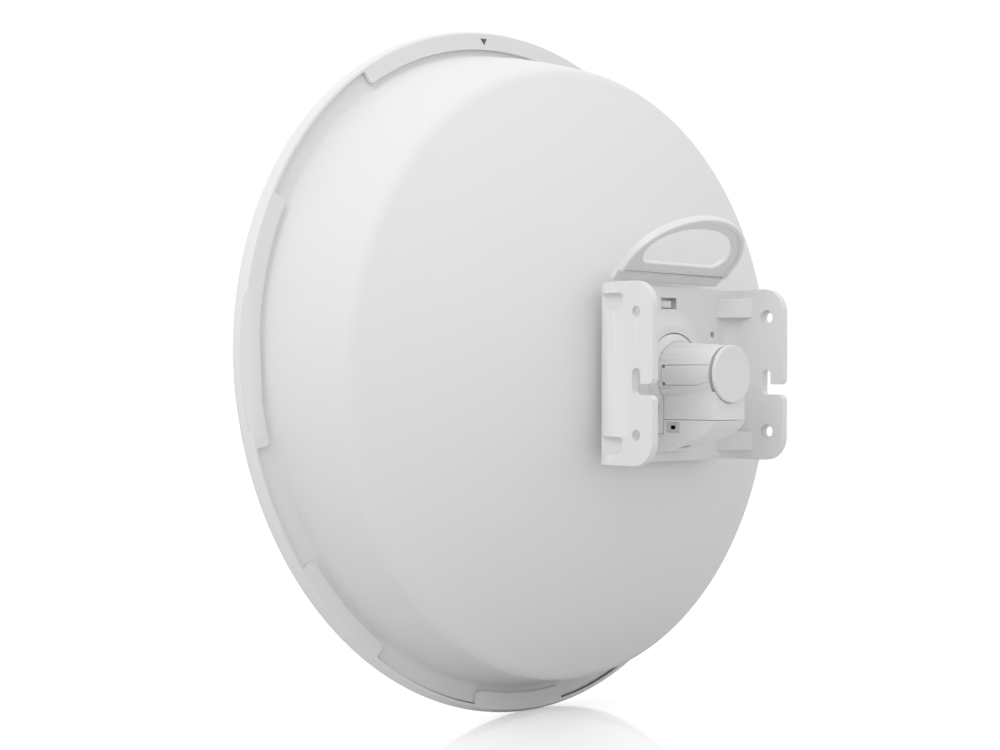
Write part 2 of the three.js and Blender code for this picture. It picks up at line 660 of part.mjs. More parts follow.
/** A gusset dart pressed across a bend: inner bump and outer recess, as prisms along Z. */
function dart(side, height) {
  const corner = [EAR_INNER + CUT, BASE_REAR - CUT];
  const onEar = [EAR_INNER, BASE_REAR + DART_ON_EAR];
  const onBase = [EAR_INNER - DART_ON_BASE, BASE_REAR];
  const slope = Math.hypot(DART_ON_EAR, DART_ON_BASE);
  const [offX, offY] = [(DART_WALL * DART_ON_EAR) / slope, (DART_WALL * DART_ON_BASE) / slope];
  const [runX, runY] = [DART_ON_BASE / slope, DART_ON_EAR / slope];
  const past = PLATE + CUT;
  const bump = [onEar, [corner[0], onEar[1]], corner, [onBase[0], corner[1]], onBase];
  const recess = [
    [onEar[0] + offX + runX * past, onEar[1] - offY + runY * past],
    [EAR_OUTER + 2 * past, BASE_FRONT - past],
    [onBase[0] + offX - runX * past, onBase[1] - offY - runY * past],
  ];
  const prism = (points, width) => {
    const placed = outline(points.map(([x, y]) => [side * x, y]));
    return extrudedZ(placed, height - width / 2, height + width / 2);
  };
  return { bump: prism(bump, DART_WIDTH), recess: prism(recess, DART_RECESS) };
}

/** The raised ring of the base plate around the collar. */
function baseBoss() {
  const inner = COLLAR_RADIUS + 2 * GAP;
  const floor = BASE_REAR - CUT;
  const top = BASE_REAR + BOSS_RISE;
  const foot = [[inner, floor], [BOSS_RADIUS, floor], [BOSS_RADIUS, BASE_REAR]];
  return turned([...foot, [BOSS_TOP_RADIUS, top], [inner, top], [inner, floor]]);
}

/** Moves a (x, reach) outline that is extruded along Z into the plane of the handle. */
function onHandle(geometry) {
  return geometry.rotateX(Math.PI / 2 - HANDLE_LEAN).translate(0, BASE_REAR, HANDLE_ROOT);
}

/** D-shaped outline of the handle, shrunk by an inset. */
function handleOutline(inset) {
  const half = HANDLE_HALF - inset;
  const shape = new THREE.Shape();
  shape.moveTo(-half, -HANDLE_TUCK);
  shape.lineTo(half, -HANDLE_TUCK);
  shape.lineTo(half, HANDLE_STRAIGHT);
  shape.absellipse(0, HANDLE_STRAIGHT, half, HANDLE_REACH - HANDLE_STRAIGHT - inset, 0, Math.PI, false);
  return shape;
}

/** Finger opening of the handle. */
function gripOutline() {
  const shape = new THREE.Shape();
  const low = GRIP_BOTTOM;
  shape.moveTo(-GRIP_HALF + GRIP_CORNER, low);
  shape.lineTo(GRIP_HALF - GRIP_CORNER, low);
  shape.quadraticCurveTo(GRIP_HALF, low, GRIP_HALF, GRIP_MIDDLE);
  shape.absellipse(0, GRIP_MIDDLE, GRIP_HALF, GRIP_TOP - GRIP_MIDDLE, 0, Math.PI, false);
  shape.quadraticCurveTo(-GRIP_HALF, low, -GRIP_HALF + GRIP_CORNER, low);
  return shape;
}

/** Wall and lip of the handle, lying flat: the wall's rear face is at z = 0 and the lip hangs below it. */
function flatHandle() {
  const wall = extrudedZ(handleOutline(0), -HANDLE_LIP_RISE, HANDLE_WALL, 10);
  const inside = extrudedZ(handleOutline(HANDLE_LIP), -HANDLE_LIP_RISE - CUT, 0, 10);
  const below = -HANDLE_LIP_RISE - CUT;
  const foot = box([-EAR_OUTER, -2 * HANDLE_TUCK, below], [EAR_OUTER, HANDLE_LIP_START, 0]);
  const grip = extrudedZ(gripOutline(), -PLATE - CUT, PLATE + CUT, 8);
  return cut(wall, inside, foot, grip);
}

function handle() {
  const leaning = solid(onHandle(geometryOf(flatHandle())));
  const rootBottom = HALF_HEIGHT - PLATE;
  const root = box([-HANDLE_HALF, BASE_FRONT, rootBottom], [HANDLE_HALF, BASE_REAR, HANDLE_ROOT]);
  return joined(leaning, root);
}

/** The boss, open at the bottom for the foot of the collar. */
function openBoss() {
  const room = COLLAR_HALF + GAP;
  const footWay = box([-room, BASE_REAR, -2 * BOSS_RADIUS], [room, BASE_REAR + 2 * BOSS_RISE, 0]);
  return cut(baseBoss(), footWay);
}

/** Hook slots and countersunk holes, through both ears. */
function earHoles() {
  const [outer, inner, sunk] = [EAR_OUTER + CUT, EAR_INNER - CUT, EAR_INNER + PLATE / 2];
  const wide = HOLE_RADIUS + COUNTERSINK;
  const holes = [extrudedX(hookSlot(), -outer, outer, 6)];
  for (const height of [HOLE_SPACING / 2, -HOLE_SPACING / 2]) {
    holes.push(rodX(HOLE_RADIUS, HOLE_RADIUS, -outer, outer, 0, height));
    holes.push(rodX(wide, wide, inner, sunk, 0, height));
    holes.push(rodX(wide, wide, -sunk, -inner, 0, height));
  }
  return holes;
}

/** Neck hole, latch window and the two small holes of the base plate. */
function baseHoles() {
  const [front, rear] = [BASE_FRONT - CUT, BASE_REAR + CUT];
  const window = box([-WINDOW_HALF, front, WINDOW_BOTTOM], [WINDOW_HALF, rear, WINDOW_TOP]);
  const neckHole = rodY(NECK_RADIUS + 2 * GAP, front, rear, 0, 0, MEDIUM_ROUND);
  const small = [1, -1].map((side) => (
    rodY(SMALL_HOLE_RADIUS, front, rear, side * SMALL_HOLE_X, SMALL_HOLE_Z)
  ));
  return [window, neckHole, ...small];
}

function mountBracket() {
  const sideView = extrudedX(earOutline(), -EAR_OUTER - CUT, EAR_OUTER + CUT);
  let bracket = solid(channel()).intersect(solid(sideView));
  bracket = bracket.add(handle()).add(openBoss());
  for (const side of [1, -1]) {
    for (const height of [DART_Z, -DART_Z]) {
      const { bump, recess } = dart(side, height);
      bracket = bracket.add(solid(bump)).subtract(solid(recess));
    }
  }
  const socket = BOLT_RADIUS + CLOSE_FIT;
  for (const [x, z] of boltPlaces()) {
    bracket = joined(bracket, rodY(BOLT_BOSS_RADIUS, HUB_REAR + GAP, BASE_FRONT + CUT, x, z));
    bracket = cut(bracket, rodY(socket, HUB_REAR, BASE_REAR - BOLT_COVER, x, z));
  }
  return piece('mount_bracket', cut(bracket, ...earHoles(), ...baseHoles()), BRACKET_COAT);
}

function bracketBolts() {
  const seat = HUB_FRONT - GAP;
  const flange = seat - BOLT_FLANGE;
  const end = BASE_REAR - BOLT_COVER - BOLT_END_ROOM;
  return boltPlaces().map(([x, z], i) => {
    const shank = rodY(BOLT_RADIUS, seat - CUT, end, x, z);
    const head = rodY(BOLT_HEAD_RADIUS, flange - BOLT_HEAD_HEIGHT, flange + CUT / 2, x, z, 6);
    const washer = rodY(BOLT_FLANGE_RADIUS, flange, seat, x, z);
    return piece(`bracket_bolt_${i + 1}`, joined(shank, head, washer), BARE_METAL);
  });
}

// ---------------------------------------------------------------- collar and housing

function mountCollar() {
  const front = BASE_REAR + GAP;
  const shoulder = [COLLAR_RADIUS, (front + COLLAR_REAR) / 2];
  const land = [BARREL_FRONT_RADIUS + CUT, COLLAR_REAR];
  const ring = turned([[0, front], [COLLAR_RADIUS, front], shoulder, land, [0, COLLAR_REAR]]);
  const foot = box([-COLLAR_HALF, front, COLLAR_BOTTOM], [COLLAR_HALF, COLLAR_REAR, 0]);
  const bore = rodY(NECK_RADIUS + GAP, front - CUT, COLLAR_REAR + CUT, 0, 0, MEDIUM_ROUND);
  return piece('mount_collar', cut(joined(ring, foot), bore), HOUSING_PLASTIC);
}

function barrel(inset) {
  const front = [BARREL_FRONT_RADIUS - inset, HOUSING_FRONT];
  const rear = [BARREL_REAR_RADIUS - inset, BARREL_REAR];
  return turned([[0, HOUSING_FRONT], front, rear, [0, BARREL_REAR]]);
}

/** Recess in each side of the barrel that the side panel lies in. */
function sidePocket(side, clearance) {
  const floor = side * (HOUSING_BORE + PANEL_FLOOR_WALL + clearance);
  const beyond = side * (BARREL_FRONT_RADIUS + CUT);
  const [front, rear] = [COLLAR_REAR + PANEL_START, BARREL_REAR - PANEL_END];
  const low = [Math.min(floor, beyond), front + clearance, PANEL_BOTTOM + clearance];
  const high = [Math.max(floor, beyond), rear - clearance, PANEL_TOP - clearance];
  return box(low, high);
}

/** Posts that the board screws go into, each with its blind hole. */
function screwPost(side) {
  const [inner, outer] = [side * (SCREW_X - POST_HALF), side * (BODY_HALF - CUT)];
  const [low, high] = [Math.min(inner, outer), Math.max(inner, outer)];
  const [bottom, top] = [SEAM + POST_BOTTOM, BOARD_BOTTOM - GAP];
  const post = box([low, SCREW_Y - POST_HALF, bottom], [high, SCREW_Y + POST_HALF, top]);
  const radius = SCREW_RADIUS + CLOSE_FIT;
  const hole = rodZ(radius, bottom + POST_HALF, BOARD_BOTTOM, side * SCREW_X, SCREW_Y, TINY_ROUND);
  return { post, hole };
}

/** Space for the electronics below the bore, open at the seam. */
function equipmentBay() {
  const [half, rear] = [BODY_HALF - BODY_WALL, BODY_REAR - BODY_WALL];
  const bay = box([-half, HOUSING_FRONT + BODY_WALL, SEAM - CUT], [half, rear, BAY_TOP]);
  const wallRadius = CAP_RADIUS + GAP + BODY_WALL;
  const capWall = rodY(wallRadius, BARREL_REAR - CUT, BODY_REAR + CUT, 0, 0, MEDIUM_ROUND);
  return solid(bay).subtract(solid(capWall));
}

function rearHousing() {
  const lower = box([-BODY_HALF, HOUSING_FRONT, SEAM], [BODY_HALF, BODY_REAR, -HOUSING_BORE / 2]);
  const neck = rodY(NECK_RADIUS, NECK_FRONT, HOUSING_FRONT + CUT, 0, 0, MEDIUM_ROUND);
  const capRoom = rodY(CAP_RADIUS + GAP, BARREL_REAR, BODY_REAR + CUT, 0, 0, MEDIUM_ROUND);
  const bore = rodY(HOUSING_BORE, NECK_FRONT - CUT, BARREL_REAR + CUT, 0, 0, MEDIUM_ROUND);
  const slotFront = COLLAR_REAR + TOP_SLOT_START;
  const topSlot = box(
    [-TOP_SLOT_HALF, slotFront, HOUSING_BORE + TOP_SLOT_FLOOR_WALL],
    [TOP_SLOT_HALF, slotFront + TOP_SLOT_LENGTH, BARREL_FRONT_RADIUS + CUT],
  );
  let housing = joined(barrel(0), neck).add(cut(lower, capRoom));
  housing = cut(housing, bore, equipmentBay(), topSlot, sidePocket(1, 0), sidePocket(-1, 0));
  for (const side of [1, -1]) {
    const { post, hole } = screwPost(side);
    housing = cut(joined(housing, post), hole);
  }
  return piece('rear_housing', housing, HOUSING_PLASTIC);
}

function sidePanels() {
  const reach = 2 * BARREL_FRONT_RADIUS;
  const start = COLLAR_REAR + PANEL_START;
  const end = start + 1.5 * PANEL_NOTCH;
  return [[1, 'side_panel_left'], [-1, 'side_panel_right']].map(([side, name]) => {
    let panel = solid(sidePocket(side, GAP)).intersect(solid(barrel(GAP)));
    for (const edge of [PANEL_TOP, PANEL_BOTTOM]) {
      panel = cut(panel, box([-reach, start, edge - PANEL_NOTCH], [reach, end, edge + PANEL_NOTCH]));
    }
    return piece(name, panel, HOUSING_PLASTIC);
  });
}

function endCap() {
  const rear = CAP_FRONT + CAP_THICKNESS;
  const outer = HOUSING_BORE - GAP;
  const inner = outer - SPIGOT_WALL;
  const start = CAP_FRONT - SPIGOT_LENGTH;
  const spigot = [[0, CAP_FRONT], [inner, CAP_FRONT], [inner, start], [outer, start], [outer, CAP_FRONT]];
  const edge = [[CAP_RADIUS, CAP_FRONT], [CAP_RADIUS, rear - CAP_EDGE], [CAP_RADIUS - CAP_EDGE, rear]];
  return piece('end_cap', turned([...spigot, ...edge, [0, rear]]), HOUSING_PLASTIC);
}

function endCapSeal() {
  const front = BARREL_REAR + GAP;
  const [inner, outer] = [HOUSING_BORE, CAP_RADIUS - GAP];
  const rear = front + SEAL_THICKNESS;
  const profile = [[inner, front], [outer, front], [outer, rear], [inner, rear], [inner, front]];
  return piece('end_cap_seal', turned(profile), SEAL_RUBBER);
}

/** Side view of the port cover, shrunk all round by a wall. */
function coverOutline(wall) {
  const top = SEAM - GAP + (wall > 0 ? CUT : 0);
  const rear = BODY_REAR - wall;
  const front = COVER_FRONT + wall;
  const bottom = SEAM - COVER_DEPTH + wall;
  const step = HOUSING_FRONT + wall;
  const ledge = COLLAR_BOTTOM - GAP - wall;
  const shape = new THREE.Shape();
  shape.moveTo(step, top);
  shape.lineTo(step, ledge);
  shape.lineTo(front, ledge);
  shape.lineTo(front, bottom);
  const knee = bottom + COVER_KNEE;
  shape.quadraticCurveTo((front + COVER_KNEE_Y) / 2, (bottom + knee) / 2 - CUT / 2, COVER_KNEE_Y, knee);
  shape.quadraticCurveTo(rear - COVER_WALL, bottom + COVER_HEEL, rear, top);
  return shape;
}

function portCover() {
  const half = BODY_HALF - COVER_WALL;
  const outer = extrudedX(coverOutline(0), -BODY_HALF, BODY_HALF, 7);
  const hollow = extrudedX(coverOutline(COVER_WALL), -half, half, 7);
  const [low, high] = [SEAM - COVER_DEPTH - CUT, SEAM - COVER_DEPTH / 2];
  const cableWay = rodZ(CABLE_RADIUS, low, high, 0, CABLE_Y);
  return piece('port_cover', cut(outer, hollow, cableWay), HOUSING_PLASTIC);
}

// ---------------------------------------------------------------- electronics

function radioBoard() {
  const main = box([-BOARD_HALF, BOARD_FRONT, BOARD_BOTTOM], [BOARD_HALF, BOARD_REAR, BOARD_TOP]);
  const tongueFront = TUBE_REAR - TONGUE_REACH;
  const tongueRear = BOARD_FRONT + CUT;
  const tongue = box([-TONGUE_HALF, tongueFront, BOARD_BOTTOM], [TONGUE_HALF, tongueRear, BOARD_TOP]);
  const radius = SCREW_RADIUS + GAP;
  const holes = [1, -1].map((side) => (
    rodZ(radius, BOARD_BOTTOM - CUT, BOARD_TOP + CUT, side * SCREW_X, SCREW_Y, TINY_ROUND)
  ));
  return piece('radio_board', cut(joined(main, tongue), ...holes), BOARD_LAMINATE);
}

function boardScrews() {
  const seat = BOARD_TOP + GAP;
  const end = SEAM + POST_BOTTOM + 1.5 * POST_HALF;
  return [1, -1].map((side, i) => {
    const head = rodZ(SCREW_HEAD_RADIUS, seat, seat + SCREW_HEAD, side * SCREW_X, SCREW_Y, TINY_ROUND);
    const shank = rodZ(SCREW_RADIUS, end, seat + CUT / 2, side * SCREW_X, SCREW_Y, TINY_ROUND);
    return piece(`board_screw_${i + 1}`, joined(head, shank), BARE_METAL);
  });
}

function networkJack() {
  const [halfX, halfY] = [JACK_MOUTH_X / 2, JACK_MOUTH_Y / 2];
  const [mouthLow, mouthHigh] = [BAY_BOTTOM - CUT, BAY_BOTTOM + JACK_MOUTH_DEPTH];
  const [front, rear] = [JACK_Y - JACK_HALF, JACK_Y + JACK_HALF];
  const body = box([-JACK_HALF, front, BAY_BOTTOM], [JACK_HALF, rear, BOARD_BOTTOM - GAP]);
  const mouth = box([-halfX, JACK_Y - halfY, mouthLow], [halfX, JACK_Y + halfY, mouthHigh]);
  const keyEnd = JACK_Y + halfY + JACK_KEY_DEPTH;
  const keyway = box([-JACK_KEY_HALF, JACK_Y, mouthLow], [JACK_KEY_HALF, keyEnd, mouthHigh]);
  return piece('network_jack', cut(body, mouth, keyway), BLACK_PLASTIC);
}

function shieldCan() {
  const low = BOARD_TOP + GAP;
  const half = BOARD_HALF - CAN_EDGE;
  const [front, rear] = [BOARD_FRONT + CAN_FRONT, SCREW_Y - SCREW_HEAD_RADIUS - CAN_REAR];
  const can = box([-half, front, low], [half, rear, low + CAN_HEIGHT]);
  return piece('shield_can', can, BARE_METAL);
}

function lightPipe() {
  const rear = JACK_Y - JACK_HALF - GAP;
  const pipe = box([-PIPE_HALF, rear - PIPE_DEPTH, BAY_BOTTOM], [PIPE_HALF, rear, BOARD_BOTTOM - GAP]);
  return piece('light_pipe', pipe, CLEAR_PLASTIC);
}

function resetSwitch() {
  const front = JACK_Y + JACK_HALF + 2 * GAP;
  const rear = BUTTON_Y + SWITCH_PAST_BUTTON;
  const body = box([-SWITCH_HALF, front, SWITCH_LOW], [SWITCH_HALF, rear, BOARD_BOTTOM - GAP]);
  return piece('reset_switch', body, BLACK_PLASTIC);
}

function resetButton() {
  const top = SWITCH_LOW - GAP - BUTTON_TRAVEL;
  const wide = BUTTON_RADIUS + BUTTON_COLLAR;
  const stem = rodZ(BUTTON_RADIUS, BAY_BOTTOM, top, 0, BUTTON_Y);
  const collar = rodZ(wide, top - BUTTON_COLLAR_HEIGHT, top, 0, BUTTON_Y);
  return piece('reset_button', joined(stem, collar), BLACK_PLASTIC);
}

// ---------------------------------------------------------------- feed

function feedTube() {
  const outer = [[TUBE_RADIUS, TUBE_FRONT], [TUBE_RADIUS, TUBE_REAR]];
  const inner = [[TUBE_BORE, TUBE_REAR], [TUBE_BORE, TUBE_FRONT]];
  return piece('feed_tube', turned([inner[1], ...outer, ...inner]), BARE_METAL);
}

function feedCap() {
  const inner = TUBE_RADIUS + GAP;
  const outer = inner + FEED_CAP_WALL;
  const [sleeve, throat] = [TUBE_FRONT + FEED_CAP_SLEEVE, TUBE_FRONT - CUT];
  const face = FEED_CAP_FRONT + FEED_CAP_WALL;
  const rim = [[0, FEED_CAP_FRONT], [FEED_CAP_RADIUS, FEED_CAP_FRONT], [FEED_CAP_RADIUS, face]];
  const sleeveWall = [[outer, throat], [outer, sleeve], [inner, sleeve], [inner, throat]];
  const floor = [[FEED_CAP_RADIUS - 2 * FEED_CAP_WALL, face], [0, face]];
  return piece('feed_cap', turned([...rim, ...sleeveWall, ...floor]), HOUSING_PLASTIC);
}

function subReflector() {
  const rear = FEED_CAP_FRONT - GAP;
  const radius = FEED_CAP_RADIUS - SUBREFLECTOR_EDGE;
  const disc = rodY(radius, rear - SUBREFLECTOR_THICKNESS, rear, 0, 0, MEDIUM_ROUND);
  return piece('sub_reflector', disc, BARE_METAL);
}

function feedRadiator() {
  const front = TUBE_FRONT + RADIATOR_RECESS;
  const disc = rodY(TUBE_BORE - 2 * GAP, front, front + BOARD_THICKNESS);
  return piece('feed_radiator', disc, BOARD_LAMINATE);
}

function coaxLines() {
  const front = TUBE_FRONT + RADIATOR_RECESS + BOARD_THICKNESS + GAP;
  const rear = BOARD_FRONT - COAX_START;
  const height = BOARD_TOP + GAP + COAX_RADIUS;
  return [1, -1].map((side, i) => {
    const line = rodY(COAX_RADIUS, front, rear, side * COAX_X, height, TINY_ROUND);
    return piece(`coax_line_${i + 1}`, line, BARE_METAL);
  });
}

// ---------------------------------------------------------------- release latch

function releaseLatch() {
  const rear = BASE_FRONT - LATCH_FACE_GAP;
  const root = NECK_RADIUS + GAP;
  const blade = box([-LATCH_HALF, rear - LATCH_THICKNESS, root], [LATCH_HALF, rear, LATCH_TOP]);
  const half = LATCH_HALF - LATCH_PAD_EDGE;
  const low = WINDOW_BOTTOM + LATCH_LOW;
  const pad = box([-half, rear - CUT, low], [half, rear + LATCH_PAD_RISE, LATCH_TOP]);
  return piece('release_latch', joined(blade, pad), HOUSING_PLASTIC);
}

// ---------------------------------------------------------------- assembly

rim.add(frontRadome());

const dish = new THREE.Group();
dish.add(reflectorDish());

const bracket = new THREE.Group();
bracket.add(mountBracket(), ...bracketBolts());

const housing = new THREE.Group();
housing.add(mountCollar(), rearHousing(), ...sidePanels(), endCap(), endCapSeal());
housing.add(portCover(), releaseLatch());

const electronics = new THREE.Group();
electronics.add(radioBoard(), ...boardScrews(), networkJack(), shieldCan(), lightPipe());
electronics.add(resetSwitch(), resetButton());

const feed = new THREE.Group();
feed.add(feedTube(), feedCap(), subReflector(), feedRadiator(), ...coaxLines());

const bridge = new THREE.Group();
bridge.add(rim, dish, bracket, housing, electronics, feed);

export default bridge;
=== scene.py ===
"""Looks of the outdoor wireless bridge: dish, front radome, hooked bracket, handle and radio housing.

Metres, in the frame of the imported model: +Z up, the dish looks towards -Y, and the origin lies between
the two hooks of the bracket, on the dish axis.
"""

import json
import math

import bmesh
import bpy
from mathutils import Matrix, Vector


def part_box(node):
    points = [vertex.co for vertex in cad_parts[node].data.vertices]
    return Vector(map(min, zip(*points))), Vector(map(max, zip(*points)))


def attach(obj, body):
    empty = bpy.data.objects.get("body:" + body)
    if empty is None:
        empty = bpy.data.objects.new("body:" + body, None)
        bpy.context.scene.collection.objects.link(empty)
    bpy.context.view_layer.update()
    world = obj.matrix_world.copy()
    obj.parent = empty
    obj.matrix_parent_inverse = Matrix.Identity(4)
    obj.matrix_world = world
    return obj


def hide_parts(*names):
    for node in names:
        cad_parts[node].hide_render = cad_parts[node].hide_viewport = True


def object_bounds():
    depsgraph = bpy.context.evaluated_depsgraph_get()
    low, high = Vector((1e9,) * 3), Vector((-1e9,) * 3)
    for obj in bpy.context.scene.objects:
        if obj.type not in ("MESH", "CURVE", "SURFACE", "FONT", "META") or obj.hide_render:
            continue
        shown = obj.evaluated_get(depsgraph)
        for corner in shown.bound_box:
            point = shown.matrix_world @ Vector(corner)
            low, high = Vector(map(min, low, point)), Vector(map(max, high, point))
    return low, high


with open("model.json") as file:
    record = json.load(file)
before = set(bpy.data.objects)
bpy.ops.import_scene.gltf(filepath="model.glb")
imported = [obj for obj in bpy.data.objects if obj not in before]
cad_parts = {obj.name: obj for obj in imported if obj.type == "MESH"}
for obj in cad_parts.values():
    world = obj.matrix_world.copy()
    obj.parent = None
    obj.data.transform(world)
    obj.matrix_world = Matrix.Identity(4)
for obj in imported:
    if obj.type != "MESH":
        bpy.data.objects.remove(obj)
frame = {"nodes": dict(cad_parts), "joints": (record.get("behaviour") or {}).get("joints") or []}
cad_low, cad_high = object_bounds()

MM = 0.001
GAP = 0.3 * MM
FULL_TURN = 2 * math.pi
FINE_ROUND = 192                      # facets of the large turned pieces
MEDIUM_ROUND = 96                     # facets of the housing's round pieces
HOLE_ROUND = 40
MERGE = 0.002 * MM                    # vertices closer than this are one

# ---------------------------------------------------------------- sizes and places, from the frame

bracket_low, bracket_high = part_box("mount_bracket")
barrel_low, barrel_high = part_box("rear_housing")
collar_low, collar_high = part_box("mount_collar")
cap_low, cap_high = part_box("end_cap")
panel_low, panel_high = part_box("side_panel_left")
cover_low, cover_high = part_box("port_cover")
board_low, board_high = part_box("radio_board")
latch_low, latch_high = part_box("release_latch")
rim_joint = next(joint for joint in frame["joints"] if joint["name"] == "radome_twist")

RIM_CENTRE = Vector(rim_joint["pos_m"])
RIM_TILT = math.atan2(rim_joint["axis"][2], rim_joint["axis"][1])
RIM_RADIUS = cad_high.x

RADOME_WALL = 2.2 * MM
RADOME_BULGE = 16 * MM
RADOME_SHOULDER = 6 * MM
SKIRT_DEPTH = 6 * MM
SKIRT_TAPER = 2 * MM
HOOK_THICKNESS = 2.5 * MM
HOOK_INNER = RIM_RADIUS - 13 * MM
FLAT_REAR = RIM_RADIUS - 7 * MM       # where the straight rear edge of each side flat lies
FLAT_HOOK = HOOK_INNER - MM           # inner edge of the hooks behind a flat
# the middle and half-width of each hook band, in degrees clockwise from the top, seen from behind
HOOK_BANDS = {"top": (0, 34.4), "side": (82.7, 19.9), "lower": (132.6, 10), "bottom": (175.6, 10.1),
              "far_lower": (227.4, 10), "far_side": (277.3, 19.9)}

MARK_ANGLE = math.radians(5.8)
MARK_HALF = 3 * MM
MARK_HEIGHT = 4.4 * MM
MARK_RISE = 0.12 * MM

FLANGE_RADIUS = RIM_RADIUS - SKIRT_TAPER - RADOME_WALL - 0.6 * MM
FLANGE_REAR = 3.2 * MM
ROOT_RADIUS = FLANGE_RADIUS - 12.4 * MM
TIP_END = 25 * MM
RIDGE_RADIUS = ROOT_RADIUS - 14.2 * MM
RIDGE_DEPTH = 62.5 * MM
REFLECTOR_WALL = 2 * MM
HUB_RADIUS = 51 * MM

EAR_OUTER = bracket_high.x
EAR_TOP = 54 * MM
EAR_REAR = bracket_high.y
PLATE = 5 * MM
BEND_RADIUS = 9 * MM
EAR_CORNER = 15 * MM
BASE_REAR = -30 * MM
BASE_MIDDLE = BASE_REAR - PLATE / 2
BEND_X = EAR_OUTER - PLATE - BEND_RADIUS
BEND_Y = BASE_REAR + BEND_RADIUS
SLOT_HALF = 3.2 * MM
SLOT_DROP = 12.6 * MM
HOLE_RADIUS = 3.25 * MM
COUNTERSINK_RADIUS = 4.75 * MM
HOLE_Z = 36 * MM
DART_Z = 42.3 * MM
BOSS_RADIUS = 39.5 * MM
BOSS_TOP_RADIUS = 29 * MM
BOSS_RISE = 5 * MM
WINDOW_HALF = 7.2 * MM
WINDOW_BOTTOM = 40.4 * MM
WINDOW_TOP = 47.4 * MM
SMALL_HOLE_X = 43 * MM
SMALL_HOLE_Z = 25.5 * MM
SMALL_HOLE_RADIUS = 2 * MM
BOLT_BOSS_RADIUS = 7 * MM
BOLT_BOSS_HEIGHT = 3.7 * MM

HANDLE_LEAN = math.radians(46)
HANDLE_ROOT = 58.3 * MM
HANDLE_HALF = 50 * MM
HANDLE_REACH = 51.2 * MM
HANDLE_STRAIGHT = 15.3 * MM
HANDLE_WALL = 3.2 * MM
HANDLE_TUCK = 3.4 * MM                 # how far the handle's wall runs into the base plate
HANDLE_LIP = 3 * MM
HANDLE_LIP_RISE = 2 * MM
HANDLE_LIP_START = 5 * MM
GRIP_HALF = 39 * MM
GRIP_BOTTOM = 12.4 * MM
GRIP_MIDDLE = 22 * MM
GRIP_TOP = 41.8 * MM
GRIP_CORNER = 9 * MM

BORE = 15 * MM
NECK_RADIUS = 18.3 * MM
BARREL_FRONT_RADIUS = 20 * MM
BARREL_REAR_RADIUS = 17.2 * MM
BARREL_FRONT = collar_high.y + GAP
BARREL_REAR = 15.5 * MM
BODY_HALF = cover_high.x
BODY_REAR = barrel_high.y
SEAM = cover_high.z + GAP
CAP_RADIUS = cap_high.x


# ---------------------------------------------------------------- modelling steps

def only(piece):
    """Makes this the one selected and active object."""
    bpy.ops.object.select_all(action="DESELECT")
    piece.select_set(True)
    bpy.context.view_layer.objects.active = piece
    return piece


def named(name):
    piece = bpy.context.object
    piece.name = piece.data.name = name
    return piece


def edit(piece):
    only(piece)
    bpy.ops.object.mode_set(mode="EDIT")
    bpy.ops.mesh.select_mode(type="VERT")


def leave():
    bpy.ops.object.mode_set(mode="OBJECT")


def choose(kind, test):
    """In edit mode, selects the vertices, edges or faces that pass the test, and nothing else."""
    bpy.ops.mesh.select_mode(type=kind)
    bpy.ops.mesh.select_all(action="DESELECT")
    mesh = bmesh.from_edit_mesh(bpy.context.object.data)
    parts = {"VERT": mesh.verts, "EDGE": mesh.edges, "FACE": mesh.faces}[kind]
    for part in parts:
        if test(part):
            part.select_set(True)
    mesh.select_flush_mode()
    bmesh.update_edit_mesh(bpy.context.object.data)


def middle(edge):
    return (edge.verts[0].co + edge.verts[1].co) / 2


def along(edge, axis, share=0.99):
    """True if the edge runs along this axis, 0 to 2."""
    run = edge.verts[1].co - edge.verts[0].co
    return run.length > 0 and abs(run[axis]) > share * run.length


def turn(angle, axis, centre):
    """Turns what is selected by the right-hand rule about "X", "Y" or "Z" through a point."""
    bpy.ops.transform.rotate(value=-angle, orient_axis=axis, center_override=centre)


def sweep(steps, angle, axis, centre=(0, 0, 0)):
    """Spins what is selected by the right-hand rule about an axis through a point."""
    bpy.ops.mesh.spin(steps=steps, angle=angle, center=centre, axis=[-part for part in axis])


def chain(name, points):
    """A line of edges through the points, drawn one vertex after another."""
    bpy.ops.object.select_all(action="DESELECT")
    bpy.ops.mesh.primitive_plane_add(size=MM)
    piece = named(name)
    edit(piece)
    bpy.ops.mesh.select_all(action="SELECT")
    bpy.ops.mesh.merge(type="CENTER")
    bpy.ops.transform.translate(value=points[0])
    for start, end in zip(points, points[1:]):
        step = Vector(end) - Vector(start)
        bpy.ops.mesh.extrude_region_move(TRANSFORM_OT_translate={"value": step})
    leave()
    return piece


def tidy(piece):
    """Merges doubled vertices and turns the faces outwards."""
    edit(piece)
    bpy.ops.mesh.select_all(action="SELECT")
    bpy.ops.mesh.remove_doubles(threshold=MERGE)
    bpy.ops.mesh.normals_make_consistent(inside=False)
    leave()
    return piece


def turned(name, points, steps=MEDIUM_ROUND):
    """A body of revolution about the dish axis from [radius, y] points."""
    piece = chain(name, [(radius, y, 0) for radius, y in points])
    edit(piece)
    bpy.ops.mesh.select_all(action="SELECT")
    sweep(steps, FULL_TURN, (0, 1, 0))
    leave()
    return tidy(piece)


def prism(name, points, axis, low, high):
    """An outline of pairs, closed and filled, and drawn out along axis 0, 1 or 2 from low to high."""
    def place(u, v):
        return {0: (low, u, v), 1: (u, low, v), 2: (u, v, low)}[axis]
    piece = chain(name, [place(u, v) for u, v in [*points, points[0]]])
    step = [0, 0, 0]
    step[axis] = high - low
    edit(piece)
    bpy.ops.mesh.select_all(action="SELECT")
    bpy.ops.mesh.remove_doubles(threshold=MERGE)
    bpy.ops.mesh.edge_face_add()
    bpy.ops.mesh.extrude_region_move(TRANSFORM_OT_translate={"value": step})
    leave()
    return tidy(piece)


